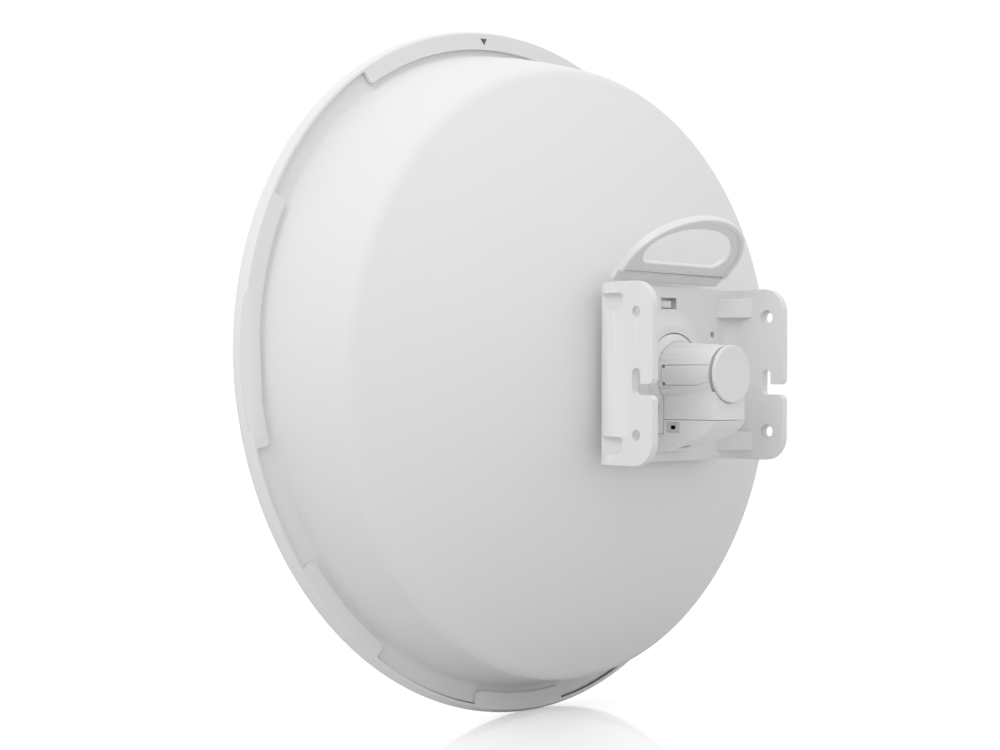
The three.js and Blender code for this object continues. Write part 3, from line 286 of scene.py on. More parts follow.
def block(name, low, high):
    """A box between two corners."""
    size = [b - a for a, b in zip(low, high)]
    centre = [(a + b) / 2 for a, b in zip(low, high)]
    bpy.ops.object.select_all(action="DESELECT")
    bpy.ops.mesh.primitive_cube_add(size=1, location=centre)
    bpy.ops.transform.resize(value=size)
    bpy.ops.object.transform_apply(location=True, rotation=True, scale=True)
    return named(name)


def rod(name, axis, radius, low, high, first=0.0, second=0.0, facets=HOLE_ROUND, far_radius=None):
    """A rod or cone along axis 0, 1 or 2, through (first, second) on the other two axes."""
    centre = {0: ((low + high) / 2, first, second), 1: (first, (low + high) / 2, second),
              2: (first, second, (low + high) / 2)}[axis]
    turns = {0: (0, math.pi / 2, 0), 1: (-math.pi / 2, 0, 0), 2: (0, 0, 0)}[axis]
    bpy.ops.object.select_all(action="DESELECT")
    bpy.ops.mesh.primitive_cone_add(vertices=facets, radius1=radius, radius2=far_radius or radius,
                                    depth=high - low, location=centre, rotation=turns)
    bpy.ops.object.transform_apply(location=True, rotation=True, scale=True)
    return named(name)


def modified(piece, kind, **settings):
    """Adds a modifier with these settings and applies it."""
    only(piece)
    modifier = piece.modifiers.new(kind.lower(), kind)
    for name, value in settings.items():
        setattr(modifier, name, value)
    bpy.ops.object.modifier_apply(modifier=modifier.name)
    return piece


def combined(piece, operation, *tools):
    for tool in tools:
        modified(piece, "BOOLEAN", operation=operation, object=tool, solver="EXACT")
        bpy.data.objects.remove(tool)
    return piece


def cut(piece, *tools):
    return combined(piece, "DIFFERENCE", *tools)


def united(piece, *tools):
    return combined(piece, "UNION", *tools)


def together(piece, *others):
    """Joins pieces that stay closed shells of their own."""
    only(piece)
    for other in others:
        other.select_set(True)
    bpy.ops.object.join()
    return piece


def rounded(piece, width, segments=3, angle=38):
    """Rounds every edge sharper than the angle, with smooth shading that keeps flat faces flat."""
    only(piece)
    bpy.ops.object.shade_smooth()
    modified(piece, "BEVEL", width=width, segments=segments, limit_method="ANGLE",
             angle_limit=math.radians(angle), harden_normals=False, use_clamp_overlap=True)
    modified(piece, "WEIGHTED_NORMAL", weight=90, keep_sharp=True)
    return piece


def finished(piece, body, slot, material, *nodes):
    """Gives a piece its finish and its body, in place of the CAD nodes."""
    piece.data.materials.clear()
    piece.data.materials.append(material)
    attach(piece, body)
    if nodes:
        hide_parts(*nodes)
    return piece


def arc(centre, radius, start, end, steps, squash=1.0):
    """Points on an arc in degrees, from the first axis towards the second."""
    points = []
    for i in range(steps + 1):
        angle = math.radians(start + (end - start) * i / steps)
        points.append((centre[0] + radius * math.cos(angle),
                       centre[1] + squash * radius * math.sin(angle)))
    return points


# ---------------------------------------------------------------- shared effects

def new_group(name, inputs, outputs):
    """An empty shader group with these sockets: {name: (kind, default)} and {name: kind}."""
    group = bpy.data.node_groups.new(name, "ShaderNodeTree")
    for label, (kind, value) in inputs.items():
        socket = group.interface.new_socket(name=label, in_out="INPUT", socket_type=kind)
        socket.default_value = value
    for label, kind in outputs.items():
        group.interface.new_socket(name=label, in_out="OUTPUT", socket_type=kind)
    entry = group.nodes.new("NodeGroupInput")
    leaving = group.nodes.new("NodeGroupOutput")
    return group, entry, leaving


def noise(tree, coordinates, scale, detail=3.0, roughness=0.5):
    node = tree.nodes.new("ShaderNodeTexNoise")
    node.inputs["Detail"].default_value = detail
    node.inputs["Roughness"].default_value = roughness
    tree.links.new(coordinates, node.inputs["Vector"])
    if isinstance(scale, (int, float)):
        node.inputs["Scale"].default_value = scale
    else:
        tree.links.new(scale, node.inputs["Scale"])
    return node.outputs["Fac"]


def math_node(tree, operation, first, second):
    node = tree.nodes.new("ShaderNodeMath")
    node.operation = operation
    for socket, value in zip(node.inputs, (first, second)):
        if isinstance(value, (int, float)):
            socket.default_value = value
        else:
            tree.links.new(value, socket)
    return node.outputs[0]


def moulded_grain():
    """Fine raised grain of a moulded or powder-coated surface."""
    sockets = {"Scale": ("NodeSocketFloat", 900.0), "Waviness": ("NodeSocketFloat", 0.35)}
    group, entry, leaving = new_group("moulded grain", sockets, {"Height": "NodeSocketFloat"})
    place = group.nodes.new("ShaderNodeTexCoord").outputs["Object"]
    fine = noise(group, place, entry.outputs["Scale"], 4.0, 0.6)
    wave = noise(group, place, 22.0, 2.0, 0.4)
    waves = math_node(group, "MULTIPLY", wave, entry.outputs["Waviness"])
    total = math_node(group, "ADD", fine, waves)
    group.links.new(total, leaving.inputs["Height"])
    return group


def tone_variation():
    """Slow drift of colour and gloss over a part, from moulding and handling."""
    sockets = {"Colour": ("NodeSocketColor", (0.8, 0.8, 0.8, 1)),
               "Second colour": ("NodeSocketColor", (0.7, 0.7, 0.7, 1)),
               "Scale": ("NodeSocketFloat", 9.0), "Amount": ("NodeSocketFloat", 0.3),
               "Roughness": ("NodeSocketFloat", 0.45), "Roughness range": ("NodeSocketFloat", 0.08)}
    group, entry, leaving = new_group(
        "tone variation", sockets, {"Colour": "NodeSocketColor", "Roughness": "NodeSocketFloat"})
    place = group.nodes.new("ShaderNodeTexCoord").outputs["Object"]
    drift = noise(group, place, entry.outputs["Scale"], 4.0, 0.55)
    amount = math_node(group, "MULTIPLY", drift, entry.outputs["Amount"])
    mix = group.nodes.new("ShaderNodeMix")
    mix.data_type = "RGBA"
    group.links.new(amount, mix.inputs["Factor"])
    group.links.new(entry.outputs["Colour"], mix.inputs["A"])
    group.links.new(entry.outputs["Second colour"], mix.inputs["B"])
    group.links.new(mix.outputs["Result"], leaving.inputs["Colour"])
    centred = math_node(group, "SUBTRACT", drift, 0.5)
    spread = math_node(group, "MULTIPLY", centred, entry.outputs["Roughness range"])
    rough = math_node(group, "ADD", entry.outputs["Roughness"], spread)
    group.links.new(rough, leaving.inputs["Roughness"])
    return group


GRAIN = moulded_grain()
VARIATION = tone_variation()


def surface(name, colour, second, roughness, grain_scale=900.0, grain_depth=0.03, amount=0.3,
            scale=9.0, spread=0.08, metallic=0.0, coat=0.0, specular=0.5, subsurface=0.0):
    """A material with drifting tone and gloss, and a fine grain."""
    material = bpy.data.materials.new(name)
    material.use_nodes = True
    tree = material.node_tree
    shader = tree.nodes["Principled BSDF"]
    shader.inputs["Metallic"].default_value = metallic
    shader.inputs["Coat Weight"].default_value = coat
    shader.inputs["Specular IOR Level"].default_value = specular
    shader.inputs["Subsurface Weight"].default_value = subsurface
    tone = tree.nodes.new("ShaderNodeGroup")
    tone.node_tree = VARIATION
    tone.inputs["Colour"].default_value = (*colour, 1)
    tone.inputs["Second colour"].default_value = (*second, 1)
    tone.inputs["Scale"].default_value = scale
    tone.inputs["Amount"].default_value = amount
    tone.inputs["Roughness"].default_value = roughness
    tone.inputs["Roughness range"].default_value = spread
    grain = tree.nodes.new("ShaderNodeGroup")
    grain.node_tree = GRAIN
    grain.inputs["Scale"].default_value = grain_scale
    bump = tree.nodes.new("ShaderNodeBump")
    bump.inputs["Strength"].default_value = 0.25
    bump.inputs["Distance"].default_value = grain_depth * MM
    tree.links.new(tone.outputs["Colour"], shader.inputs["Base Color"])
    tree.links.new(tone.outputs["Roughness"], shader.inputs["Roughness"])
    tree.links.new(grain.outputs["Height"], bump.inputs["Height"])
    tree.links.new(bump.outputs["Normal"], shader.inputs["Normal"])
    return material


def grey(value):
    return (value, value, value)


FINISHES = {
    "radome_plastic": surface("white_radome_plastic", grey(0.80), (0.77, 0.775, 0.78), 0.42),
    "dish_coat": surface("white_dish_coat", (0.79, 0.795, 0.80), grey(0.765), 0.5, 700, 0.03),
    "bracket_coat": surface("white_bracket_coat", (0.79, 0.795, 0.80), grey(0.75), 0.4, 1400, 0.05),
    "housing_plastic": surface("white_housing_plastic", grey(0.79), (0.755, 0.76, 0.765), 0.38,
                               1600, 0.03),
    "bare_metal": surface("plain_aluminium", grey(0.62), grey(0.5), 0.34, 2200, 0.03, metallic=1.0),
    "screw_steel": surface("zinc_plated_steel", (0.6, 0.61, 0.63), (0.48, 0.47, 0.43), 0.3, 1800, 0.03,
                           scale=60.0, metallic=1.0),
    "black_plastic": surface("black_moulding", grey(0.025), grey(0.045), 0.45, 1500, 0.04),
    "clear_plastic": surface("frosted_light_pipe", (0.7, 0.74, 0.75), (0.62, 0.67, 0.69), 0.25,
                             2500, 0.02),
    "seal_rubber": surface("grey_seal_rubber", grey(0.42), grey(0.34), 0.75, 1800, 0.05),
    "board_laminate": surface("green_board", (0.02, 0.13, 0.06), (0.01, 0.08, 0.035), 0.35, 900, 0.04,
                              scale=160.0, amount=0.8),
}
MARK_INK = surface("grey_mark_ink", grey(0.10), grey(0.14), 0.55, 1800, 0.02)
ICON_INK = surface("pale_icon_relief", grey(0.60), grey(0.55), 0.5, 1800, 0.02)


# ---------------------------------------------------------------- front radome

def to_rim(piece):
    """Tips a piece that was built about the origin into the plane of the rim."""
    edit(piece)
    bpy.ops.mesh.select_all(action="SELECT")
    turn(RIM_TILT, "X", (0, 0, 0))
    bpy.ops.transform.translate(value=RIM_CENTRE)
    leave()
    return piece


def radome_face(radius, inset):
    edge = RIM_RADIUS - RADOME_SHOULDER
    return inset - RADOME_SHOULDER - RADOME_BULGE * (1 - (radius / edge) ** 2)


def radome_shell():
    """Front face, round shoulder and short skirt, turned all round; front_radome cuts the straight rear edge
    at each side.
    """
    edge = RIM_RADIUS - RADOME_SHOULDER
    inner = RIM_RADIUS - RADOME_WALL
    radii = [edge * math.sqrt(i / 10) for i in range(10)]
    front = [(r, radome_face(r, 0)) for r in radii]
    shoulder = arc((edge, 0), RADOME_SHOULDER, -90, 0, 8)
    back = [(r, radome_face(r, RADOME_WALL)) for r in reversed(radii)]
    outside = [(RIM_RADIUS - 0.6 * MM, SKIRT_DEPTH / 2), (RIM_RADIUS - SKIRT_TAPER, SKIRT_DEPTH)]
    inside = [(inner - SKIRT_TAPER, SKIRT_DEPTH), (inner, 0), (edge, radome_face(edge, RADOME_WALL))]
    shell = turned("front_radome_shell", [*front, *shoulder, *outside, *inside, *back], FINE_ROUND)
    return rounded(shell, 0.6 * MM, 3, 50)


def hook_band(name, band_middle, half):
    """One inward hook of the skirt: a rectangle turned through its arc, with rounded ends."""
    front, rear = SKIRT_DEPTH - HOOK_THICKNESS, SKIRT_DEPTH
    outer = RIM_RADIUS - SKIRT_TAPER - RADOME_WALL / 2
    start = math.radians(90 - band_middle - half)
    corners = [(HOOK_INNER, front), (outer, front), (outer, rear), (HOOK_INNER, rear)]
    places = [(r * math.cos(start), y, r * math.sin(start)) for r, y in corners]
    band = chain(name, [*places, places[0]])
    steps = max(6, round(half))
    edit(band)
    bpy.ops.mesh.select_all(action="SELECT")
    bpy.ops.mesh.remove_doubles(threshold=MERGE)
    bpy.ops.mesh.edge_face_add()
    sweep(steps, 2 * math.radians(half), (0, -1, 0))
    leave()
    tidy(band)
    angles = (start, start + 2 * math.radians(half))
    ends = [Vector((HOOK_INNER * math.cos(a), 0, HOOK_INNER * math.sin(a))) for a in angles]

    def at_inner_end(edge):
        place = middle(edge) * Vector((1, 0, 1))
        return along(edge, 1) and min((place - end).length for end in ends) < 0.1 * MM

    edit(band)
    choose("EDGE", at_inner_end)
    bpy.ops.mesh.bevel(offset=3 * MM, segments=6, affect="EDGES")
    leave()
    return band


def side_ledge(side):
    """Straight inner edge of the hook band at one side."""
    front = SKIRT_DEPTH - HOOK_THICKNESS
    chord = math.sqrt(HOOK_INNER ** 2 - FLAT_HOOK ** 2)
    low, high = sorted((side * FLAT_HOOK, side * (RIM_RADIUS - 9 * MM)))
    return block(f"side_ledge_{side}", (low, front, -chord), (high, SKIRT_DEPTH, chord))


def side_waste(side):
    """What the flat cuts off the round skirt at one side: a wedge up to the straight rear edge."""
    front, beyond = SKIRT_DEPTH - HOOK_THICKNESS, SKIRT_DEPTH + 3 * MM
    slope = (RIM_RADIUS + GAP - FLAT_REAR) / HOOK_THICKNESS
    corners = [(FLAT_REAR - slope * (beyond - SKIRT_DEPTH), beyond), (RIM_RADIUS + GAP, front),
               (RIM_RADIUS + 9 * MM, front), (RIM_RADIUS + 9 * MM, beyond)]
    return prism(f"side_waste_{side}", [(side * x, y) for x, y in corners], 2, -60 * MM, 60 * MM)


def side_wall(side):
    """Wall that closes the skirt behind one flat."""
    front = SKIRT_DEPTH - HOOK_THICKNESS
    inner = FLAT_REAR - RADOME_WALL
    half = math.sqrt((RIM_RADIUS - SKIRT_TAPER - MM) ** 2 - FLAT_REAR ** 2)
    reach = math.sqrt((RIM_RADIUS - SKIRT_TAPER - MM) ** 2 - half ** 2)
    low, high = sorted((side * inner, side * reach))
    return block(f"side_wall_{side}", (low, front, -half), (high, SKIRT_DEPTH, half))


def front_radome():
    shell = radome_shell()
    bands = [hook_band(name + "_band", *place) for name, place in HOOK_BANDS.items()]
    united(shell, *bands, side_wall(1), side_wall(-1), side_ledge(1), side_ledge(-1))
    cut(shell, side_waste(1), side_waste(-1))
    radome = to_rim(rounded(tidy(shell), 0.5 * MM, 3, 48))
    radome.name = radome.data.name = "front_radome_shell"
    return finished(radome, "radome", "radome_plastic", FINISHES["radome_plastic"], "front_radome")


def alignment_mark():
    """Small triangle on the top hook band, pointing towards the dish axis."""
    radius = HOOK_INNER + 3 * MM
    corners = [(-MARK_HALF, radius + MARK_HEIGHT), (MARK_HALF, radius + MARK_HEIGHT), (0, radius)]
    mark = prism("alignment_mark", corners, 1, SKIRT_DEPTH - MARK_RISE, SKIRT_DEPTH + MARK_RISE)
    edit(mark)
    bpy.ops.mesh.select_all(action="SELECT")
    turn(MARK_ANGLE, "Y", (0, 0, 0))
    leave()
    return finished(to_rim(rounded(mark, 0.05 * MM, 1)), "radome", "radome_plastic", MARK_INK)


# ---------------------------------------------------------------- reflector dish

def dome(radius):
    """Distance behind the rim of the dome: a parabola through its ridge and the edge of its hub."""
    hub = bracket_low_front() - 4 * MM - RIM_CENTRE.y
    depth = hub - RIDGE_DEPTH
    share = (RIDGE_RADIUS ** 2 - radius ** 2) / (RIDGE_RADIUS ** 2 - HUB_RADIUS ** 2)
    return RIDGE_DEPTH + depth * share


def bracket_low_front():
    """Front face of the bracket's base plate."""
    return BASE_REAR - PLATE


def reflector_line():
    """Rear face of the reflector from its flange to its hub, as [radius, distance behind the rim]."""
    slope = (ROOT_RADIUS - RIDGE_RADIUS) / (RIDGE_DEPTH - FLANGE_REAR)
    flange = [(FLANGE_RADIUS, FLANGE_REAR), (ROOT_RADIUS + 2.6 * MM, FLANGE_REAR)]
    root = [(ROOT_RADIUS + 1.2 * MM, FLANGE_REAR + 0.4 * MM),
            (ROOT_RADIUS + 0.3 * MM, FLANGE_REAR + 1.1 * MM),
            (ROOT_RADIUS - 0.6 * MM, FLANGE_REAR + 2.6 * MM)]
    wall = [(ROOT_RADIUS - slope * d, FLANGE_REAR + d) for d in (12 * MM, 24 * MM, 36 * MM, 47 * MM)]
    wall_end = Vector((RIDGE_RADIUS + slope * 6 * MM, RIDGE_DEPTH - 6 * MM))
    corner = Vector((RIDGE_RADIUS + 0.4 * MM, RIDGE_DEPTH + 0.5 * MM))
    dome_start = Vector((RIDGE_RADIUS - 7 * MM, dome(RIDGE_RADIUS - 7 * MM)))
    ridge = []
    for i in range(9):
        t = i / 8
        point = wall_end * (1 - t) ** 2 + corner * 2 * t * (1 - t) + dome_start * t ** 2
        ridge.append(tuple(point))
    start = RIDGE_RADIUS - 7 * MM
    radii = [start + (HUB_RADIUS - start) * i / 14 for i in range(1, 15)]
    hub = [(40 * MM, dome(HUB_RADIUS)), (NECK_RADIUS + 0.6 * MM, dome(HUB_RADIUS))]
    return [*flange, *root, *wall, *ridge, *((r, dome(r)) for r in radii), *hub]


def lean(piece, line):
    """Turns each ring of the shroud further into the plane of the rim, from the ridge to the flange."""
    edit(piece)
    for radius, y in line:
        share = min(1, (RIDGE_DEPTH - y) / (RIDGE_DEPTH - TIP_END))
        if share <= 0:
            break
        choose("VERT", lambda v: max(abs(v.co.y - y), abs(v.co.xz.length - radius)) < 0.01 * MM)
        turn(share * RIM_TILT, "X", (0, 0, 0))
        bpy.ops.transform.translate(value=(0, 0, share * RIM_CENTRE.z))
    bpy.ops.mesh.select_all(action="SELECT")
    bpy.ops.transform.translate(value=(0, RIM_CENTRE.y, 0))
    leave()


def reflector_dish():
    line = reflector_line()
    skin = turned("reflector_skin", line, FINE_ROUND)
    lean(skin, line)
    edit(skin)
    bpy.ops.mesh.select_all(action="SELECT")
    bpy.ops.mesh.normals_make_consistent(inside=False)
    leave()
    if skin.data.polygons[0].normal.y < 0:
        edit(skin)
        bpy.ops.mesh.select_all(action="SELECT")
        bpy.ops.mesh.flip_normals()
        leave()
    modified(skin, "SOLIDIFY", thickness=REFLECTOR_WALL, offset=-1.0)
    only(skin)
    bpy.ops.object.shade_smooth_by_angle(angle=math.radians(40))
    return finished(skin, "bridge_body", "dish_coat", FINISHES["dish_coat"], "reflector_dish")


# ---------------------------------------------------------------- bracket with handle

def bent_sheet():
    """Middle surface of the base plate and its two ears, as one bent sheet."""
    bpy.ops.object.select_all(action="DESELECT")
    bpy.ops.mesh.primitive_plane_add(size=1, location=(0, BASE_MIDDLE, 0),
                                     rotation=(math.pi / 2, 0, 0))
    bpy.ops.transform.resize(value=(2 * BEND_X, 1, 2 * EAR_TOP))
    bpy.ops.object.transform_apply(location=True, rotation=True, scale=True)
    sheet = named("bracket_with_handle")
    edit(sheet)
    for side in (1, -1):
        choose("EDGE", lambda e: along(e, 2) and middle(e).x * side > BEND_X - MM)
        sweep(8, math.pi / 2, (0, 0, side), (side * BEND_X, BEND_Y, 0))
        bpy.ops.mesh.extrude_region_move(TRANSFORM_OT_translate={"value": (0, EAR_REAR - BEND_Y, 0)})
    choose("VERT", lambda v: v.co.y > EAR_REAR - MM)
    bpy.ops.mesh.bevel(offset=EAR_CORNER, segments=12, affect="VERTICES")
    leave()
    return sheet


def handle_outline(inset):
    """D-shaped outline of the handle, as (x, reach)."""
    half = HANDLE_HALF - inset
    squash = (HANDLE_REACH - HANDLE_STRAIGHT - inset) / half
    top = arc((0, HANDLE_STRAIGHT), half, 0, 180, 48, squash)
    return [(-half, -HANDLE_TUCK), (half, -HANDLE_TUCK), *top]


def grip_outline():
    corner = arc((GRIP_HALF - GRIP_CORNER, GRIP_MIDDLE), GRIP_CORNER, -90, 0, 6,
                 (GRIP_MIDDLE - GRIP_BOTTOM) / GRIP_CORNER)
    top = arc((0, GRIP_MIDDLE), GRIP_HALF, 0, 180, 40, (GRIP_TOP - GRIP_MIDDLE) / GRIP_HALF)
    far_corner = [(-x, y) for x, y in reversed(corner)]
    return [*corner[:-1], *top, *far_corner[1:]]


def handle():
    """Wall of the handle with its lip and finger opening, laid flat and then leaned back."""
    wall = prism("handle", handle_outline(0), 2, -HANDLE_LIP_RISE, HANDLE_WALL)
    channel = prism("channel_cutter", handle_outline(HANDLE_LIP), 2, -HANDLE_LIP_RISE - MM, 0)
    foot = block("lip_foot_cutter", (-EAR_OUTER, -2 * HANDLE_TUCK, -HANDLE_LIP_RISE - MM),
                 (EAR_OUTER, HANDLE_LIP_START, 0))
    grip = prism("grip_cutter", grip_outline(), 2, -20 * MM, 20 * MM)
    rounded(cut(wall, channel, foot, grip), 0.9 * MM, 3)
    edit(wall)
    bpy.ops.mesh.select_all(action="SELECT")
    turn(math.pi / 2 - HANDLE_LEAN, "X", (0, 0, 0))
    bpy.ops.transform.translate(value=(0, BASE_REAR, HANDLE_ROOT))
    leave()
    return wall


def hook_cutters():
    """The leg and mouth of the L-shaped hooks, through both ears."""
    reach = EAR_OUTER + 5 * MM
    leg = block("leg_cutter", (-reach, -SLOT_HALF, -SLOT_DROP), (reach, SLOT_HALF, 0))
    end = rod("leg_end_cutter", 0, SLOT_HALF, -reach, reach)
    mouth = block("mouth_cutter", (-reach, 0, -SLOT_DROP),
                  (reach, EAR_REAR + 5 * MM, 2 * SLOT_HALF - SLOT_DROP))
    return leg, end, mouth


def soften_hooks(bracket):
    """Rounds the lips of each hook's mouth and the lower corner of its leg."""
    mouth_top = 2 * SLOT_HALF - SLOT_DROP

    def lip(edge):
        place = middle(edge)
        return along(edge, 0) and place.y > EAR_REAR - 0.1 * MM and (
            abs(place.z + SLOT_DROP) < 0.1 * MM or abs(place.z - mouth_top) < 0.1 * MM)

    def corner(edge):
        place = middle(edge)
        apart = max(abs(place.y + SLOT_HALF), abs(place.z + SLOT_DROP))
        return along(edge, 0) and apart < 0.1 * MM

    edit(bracket)
    choose("EDGE", lip)
    bpy.ops.mesh.bevel(offset=3.6 * MM, segments=6, affect="EDGES")
    choose("EDGE", corner)
    bpy.ops.mesh.bevel(offset=3 * MM, segments=6, affect="EDGES")
    leave()


def ear_hole_cutters():
    reach, inner = EAR_OUTER + 5 * MM, EAR_OUTER - PLATE
    cutters = []
    for height in (HOLE_Z, -HOLE_Z):
        cutters.append(rod("ear_hole_cutter", 0, HOLE_RADIUS, -reach, reach, 0, height))
        sunk = inner + PLATE / 2
        cutters.append(rod("countersink_cutter", 0, COUNTERSINK_RADIUS, -sunk, sunk, 0, height))
    return cutters


def dart(side, height):
    """A gusset dart across one bend: its bump inside and the cutter for its recess outside."""
    on_ear, on_base, half = 19 * MM, 12.5 * MM, 6 * MM
    inner = EAR_OUTER - PLATE
    corners = [(inner, on_ear), (inner + MM, on_ear), (inner + MM, -MM), (inner - on_base, -MM),
               (inner - on_base, 0)]
    bump = prism("dart_bump", [(side * x, BASE_REAR + y) for x, y in corners], 2, height - half,
                 height + half)
    slope = math.hypot(on_ear, on_base)
    shift = Vector((side * on_ear, -on_base)) / slope * 3.4 * MM
    run = Vector((side * on_base, on_ear)) / slope * 12 * MM
    start = Vector((side * inner, BASE_REAR + on_ear)) + shift + run
    end = Vector((side * (inner - on_base), BASE_REAR)) + shift - run
    far = Vector((side * (EAR_OUTER + 14 * MM), BASE_REAR - PLATE - 8 * MM))
    recess = prism("dart_cutter", [tuple(start), tuple(far), tuple(end)], 2, height - 0.85 * half,
                   height + 0.85 * half)
    floor = (start + end) / 2
    edit(recess)
    choose("EDGE", lambda e: not along(e, 2, 0.5) and (middle(e).xy - floor).length < 5 * MM)
    bpy.ops.mesh.bevel(offset=2.5 * MM, segments=4, affect="EDGES")
    leave()
    rounded(bump, 3 * MM, 4)
    return bump, recess


def base_cutters():
    """Latch window, small holes and the hole for the housing's neck."""
    front, rear = BASE_REAR - PLATE - 2 * MM, BASE_REAR + 2 * MM
    cutters = [block("window_cutter", (-WINDOW_HALF, front, WINDOW_BOTTOM), (WINDOW_HALF, rear, WINDOW_TOP))]
    cutters.append(rod("neck_cutter", 1, NECK_RADIUS + 0.6 * MM, front, rear, facets=MEDIUM_ROUND))
    for side in (1, -1):
        cutters.append(rod("small_hole_cutter", 1, SMALL_HOLE_RADIUS, front, rear,
                           side * SMALL_HOLE_X, SMALL_HOLE_Z))
    return cutters


def base_boss():
    """Smooth raised ring of the base plate around the collar, open below for the collar's foot."""
    inner = collar_high.z + 0.6 * MM
    floor = BASE_REAR - MM
    slope = []
    for i in range(9):
        share = i / 8
        rise = BOSS_RISE * (1 - math.cos(math.pi * share)) / 2
        slope.append((BOSS_RADIUS + (BOSS_TOP_RADIUS - BOSS_RADIUS) * share, BASE_REAR + rise))
    line = [(inner, floor), (BOSS_RADIUS, floor), *slope, (inner, BASE_REAR + BOSS_RISE),
            (inner, floor)]
    boss = turned("base_boss", line)
    room = BODY_HALF + 1.8 * MM
    way = block("foot_cutter", (-room, BASE_REAR + 0.1 * MM, -60 * MM),
                (room, BASE_REAR + 10 * MM, -10 * MM))
    return rounded(cut(boss, way), 0.5 * MM, 2, 50)


def bolt_bosses():
    bosses = []
    for number in range(1, 5):
        low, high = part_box(f"bracket_bolt_{number}")
        x, z = (low.x + high.x) / 2, (low.z + high.z) / 2
        front, rear = BASE_REAR - PLATE - BOLT_BOSS_HEIGHT, BASE_REAR - PLATE + MM
        bosses.append(rounded(rod("bolt_boss", 1, BOLT_BOSS_RADIUS, front, rear, x, z), 0.5 * MM, 2))
    return bosses


def mount_bracket():
    bracket = bent_sheet()
    modified(bracket, "SOLIDIFY", thickness=PLATE, offset=0.0, use_even_offset=True)
    cut(tidy(bracket), *hook_cutters())
    soften_hooks(bracket)
    rounded(bracket, 2.2 * MM, 5, 40)
    root = block("handle_root", (-HANDLE_HALF, BASE_REAR - HANDLE_WALL, EAR_TOP - 3 * MM),
                 (HANDLE_HALF, BASE_REAR, HANDLE_ROOT))
    united(bracket, root, handle())
    darts = [dart(side, height) for side in (1, -1) for height in (DART_Z, -DART_Z)]
    cut(bracket, *ear_hole_cutters(), *base_cutters(), *(recess for bump, recess in darts))
    rounded(bracket, 0.6 * MM, 3, 50)
    together(bracket, base_boss(), *bolt_bosses(), *(bump for bump, recess in darts))
    return finished(bracket, "bridge_body", "bracket_coat", FINISHES["bracket_coat"], "mount_bracket")


# ---------------------------------------------------------------- collar and radio housing

def moulded(piece, node, body="bridge_body"):
    """Finishes a moulded housing piece in place of its CAD node."""
    return finished(piece, body, "housing_plastic", FINISHES["housing_plastic"], node)


def mount_collar():
    front, rear = collar_low.y, collar_high.y
    radius, foot_half = collar_high.z, BODY_HALF + 1.5 * MM
    shoulder = [(radius, front), (radius, rear - 3.2 * MM), (BARREL_FRONT_RADIUS + MM, rear)]
    ring = turned("mount_collar_shell", [(0, front), *shoulder, (0, rear)])
    foot = block("collar_foot", (-foot_half, front, collar_low.z), (foot_half, rear, 0))
    united(ring, foot)
    cut(ring, rod("collar_bore", 1, NECK_RADIUS + GAP, front - MM, rear + MM, facets=MEDIUM_ROUND))
    return moulded(rounded(ring, 0.8 * MM), "mount_collar")


def side_pocket(side, clearance):
    floor = side * (16.2 * MM + clearance)
    beyond = side * 30 * MM
    low = (min(floor, beyond), panel_low.y - GAP + clearance, panel_low.z - GAP + clearance)
    high = (max(floor, beyond), panel_high.y + GAP - clearance, panel_high.z + GAP - clearance)
    return block("side_pocket", low, high)


def barrel(name, inset):
    return rod(name, 1, BARREL_FRONT_RADIUS - inset, BARREL_FRONT, BARREL_REAR,
               facets=2 * MEDIUM_ROUND, far_radius=BARREL_REAR_RADIUS - inset)


def rear_housing():
    lower = block("housing_lower", (-BODY_HALF, BARREL_FRONT, SEAM),
                  (BODY_HALF, BODY_REAR, -BORE / 2))
    cut(lower, rod("cap_room", 1, CAP_RADIUS + GAP, BARREL_REAR, BODY_REAR + MM,
                   facets=MEDIUM_ROUND))
    neck = rod("housing_neck", 1, NECK_RADIUS, barrel_low.y, BARREL_FRONT + MM,
               facets=MEDIUM_ROUND)
    housing = united(barrel("rear_housing_shell", 0), lower, neck)
    wall = 2 * MM
    bay = block("bay_cutter", (wall - BODY_HALF, BARREL_FRONT + wall, SEAM - MM),
                (BODY_HALF - wall, BODY_REAR - wall, -5 * MM))
    cut(bay, rod("cap_wall", 1, CAP_RADIUS + GAP + wall, BARREL_REAR - MM, BODY_REAR + MM,
                 facets=MEDIUM_ROUND))
    bore = rod("bore_cutter", 1, BORE, barrel_low.y - MM, BARREL_REAR + MM,
               facets=MEDIUM_ROUND)
    top_slot = block("top_slot_cutter", (-3 * MM, BARREL_FRONT + 2.4 * MM, 16.6 * MM),
                     (3 * MM, BARREL_FRONT + 11.9 * MM, 30 * MM))
    cut(housing, bore, bay, top_slot, side_pocket(1, 0), side_pocket(-1, 0))
    return moulded(rounded(housing, 0.5 * MM), "rear_housing")


def side_panels():
    notch = 1.6 * MM
    for side, name in ((1, "left"), (-1, "right")):
        panel = barrel(f"side_panel_shell_{name}", 0.15 * MM)
        combined(panel, "INTERSECT", side_pocket(side, GAP))
        front = panel_low.y - MM
        for edge in (panel_low.z, panel_high.z):
            cut(panel, block("notch_cutter", (-30 * MM, front, edge - notch),
                             (30 * MM, front + 3 * MM, edge + notch)))
        moulded(rounded(panel, 0.4 * MM), f"side_panel_{name}")


def end_cap():
    front, rear = BARREL_REAR + 1.9 * MM, cap_high.y
    inner, outer, start = BORE - 1.8 * MM, BORE - GAP, cap_low.y
    spigot = [(0, front), (inner, front), (inner, start), (outer, start), (outer, front)]
    recess = rear - 0.15 * MM
    face = [(CAP_RADIUS, front), (CAP_RADIUS, rear), (CAP_RADIUS - 2.2 * MM, rear),
            (CAP_RADIUS - 2.6 * MM, recess), (0, recess)]
    cap = turned("end_cap_shell", [*spigot, *face])
    return moulded(rounded(cap, 0.7 * MM), "end_cap")


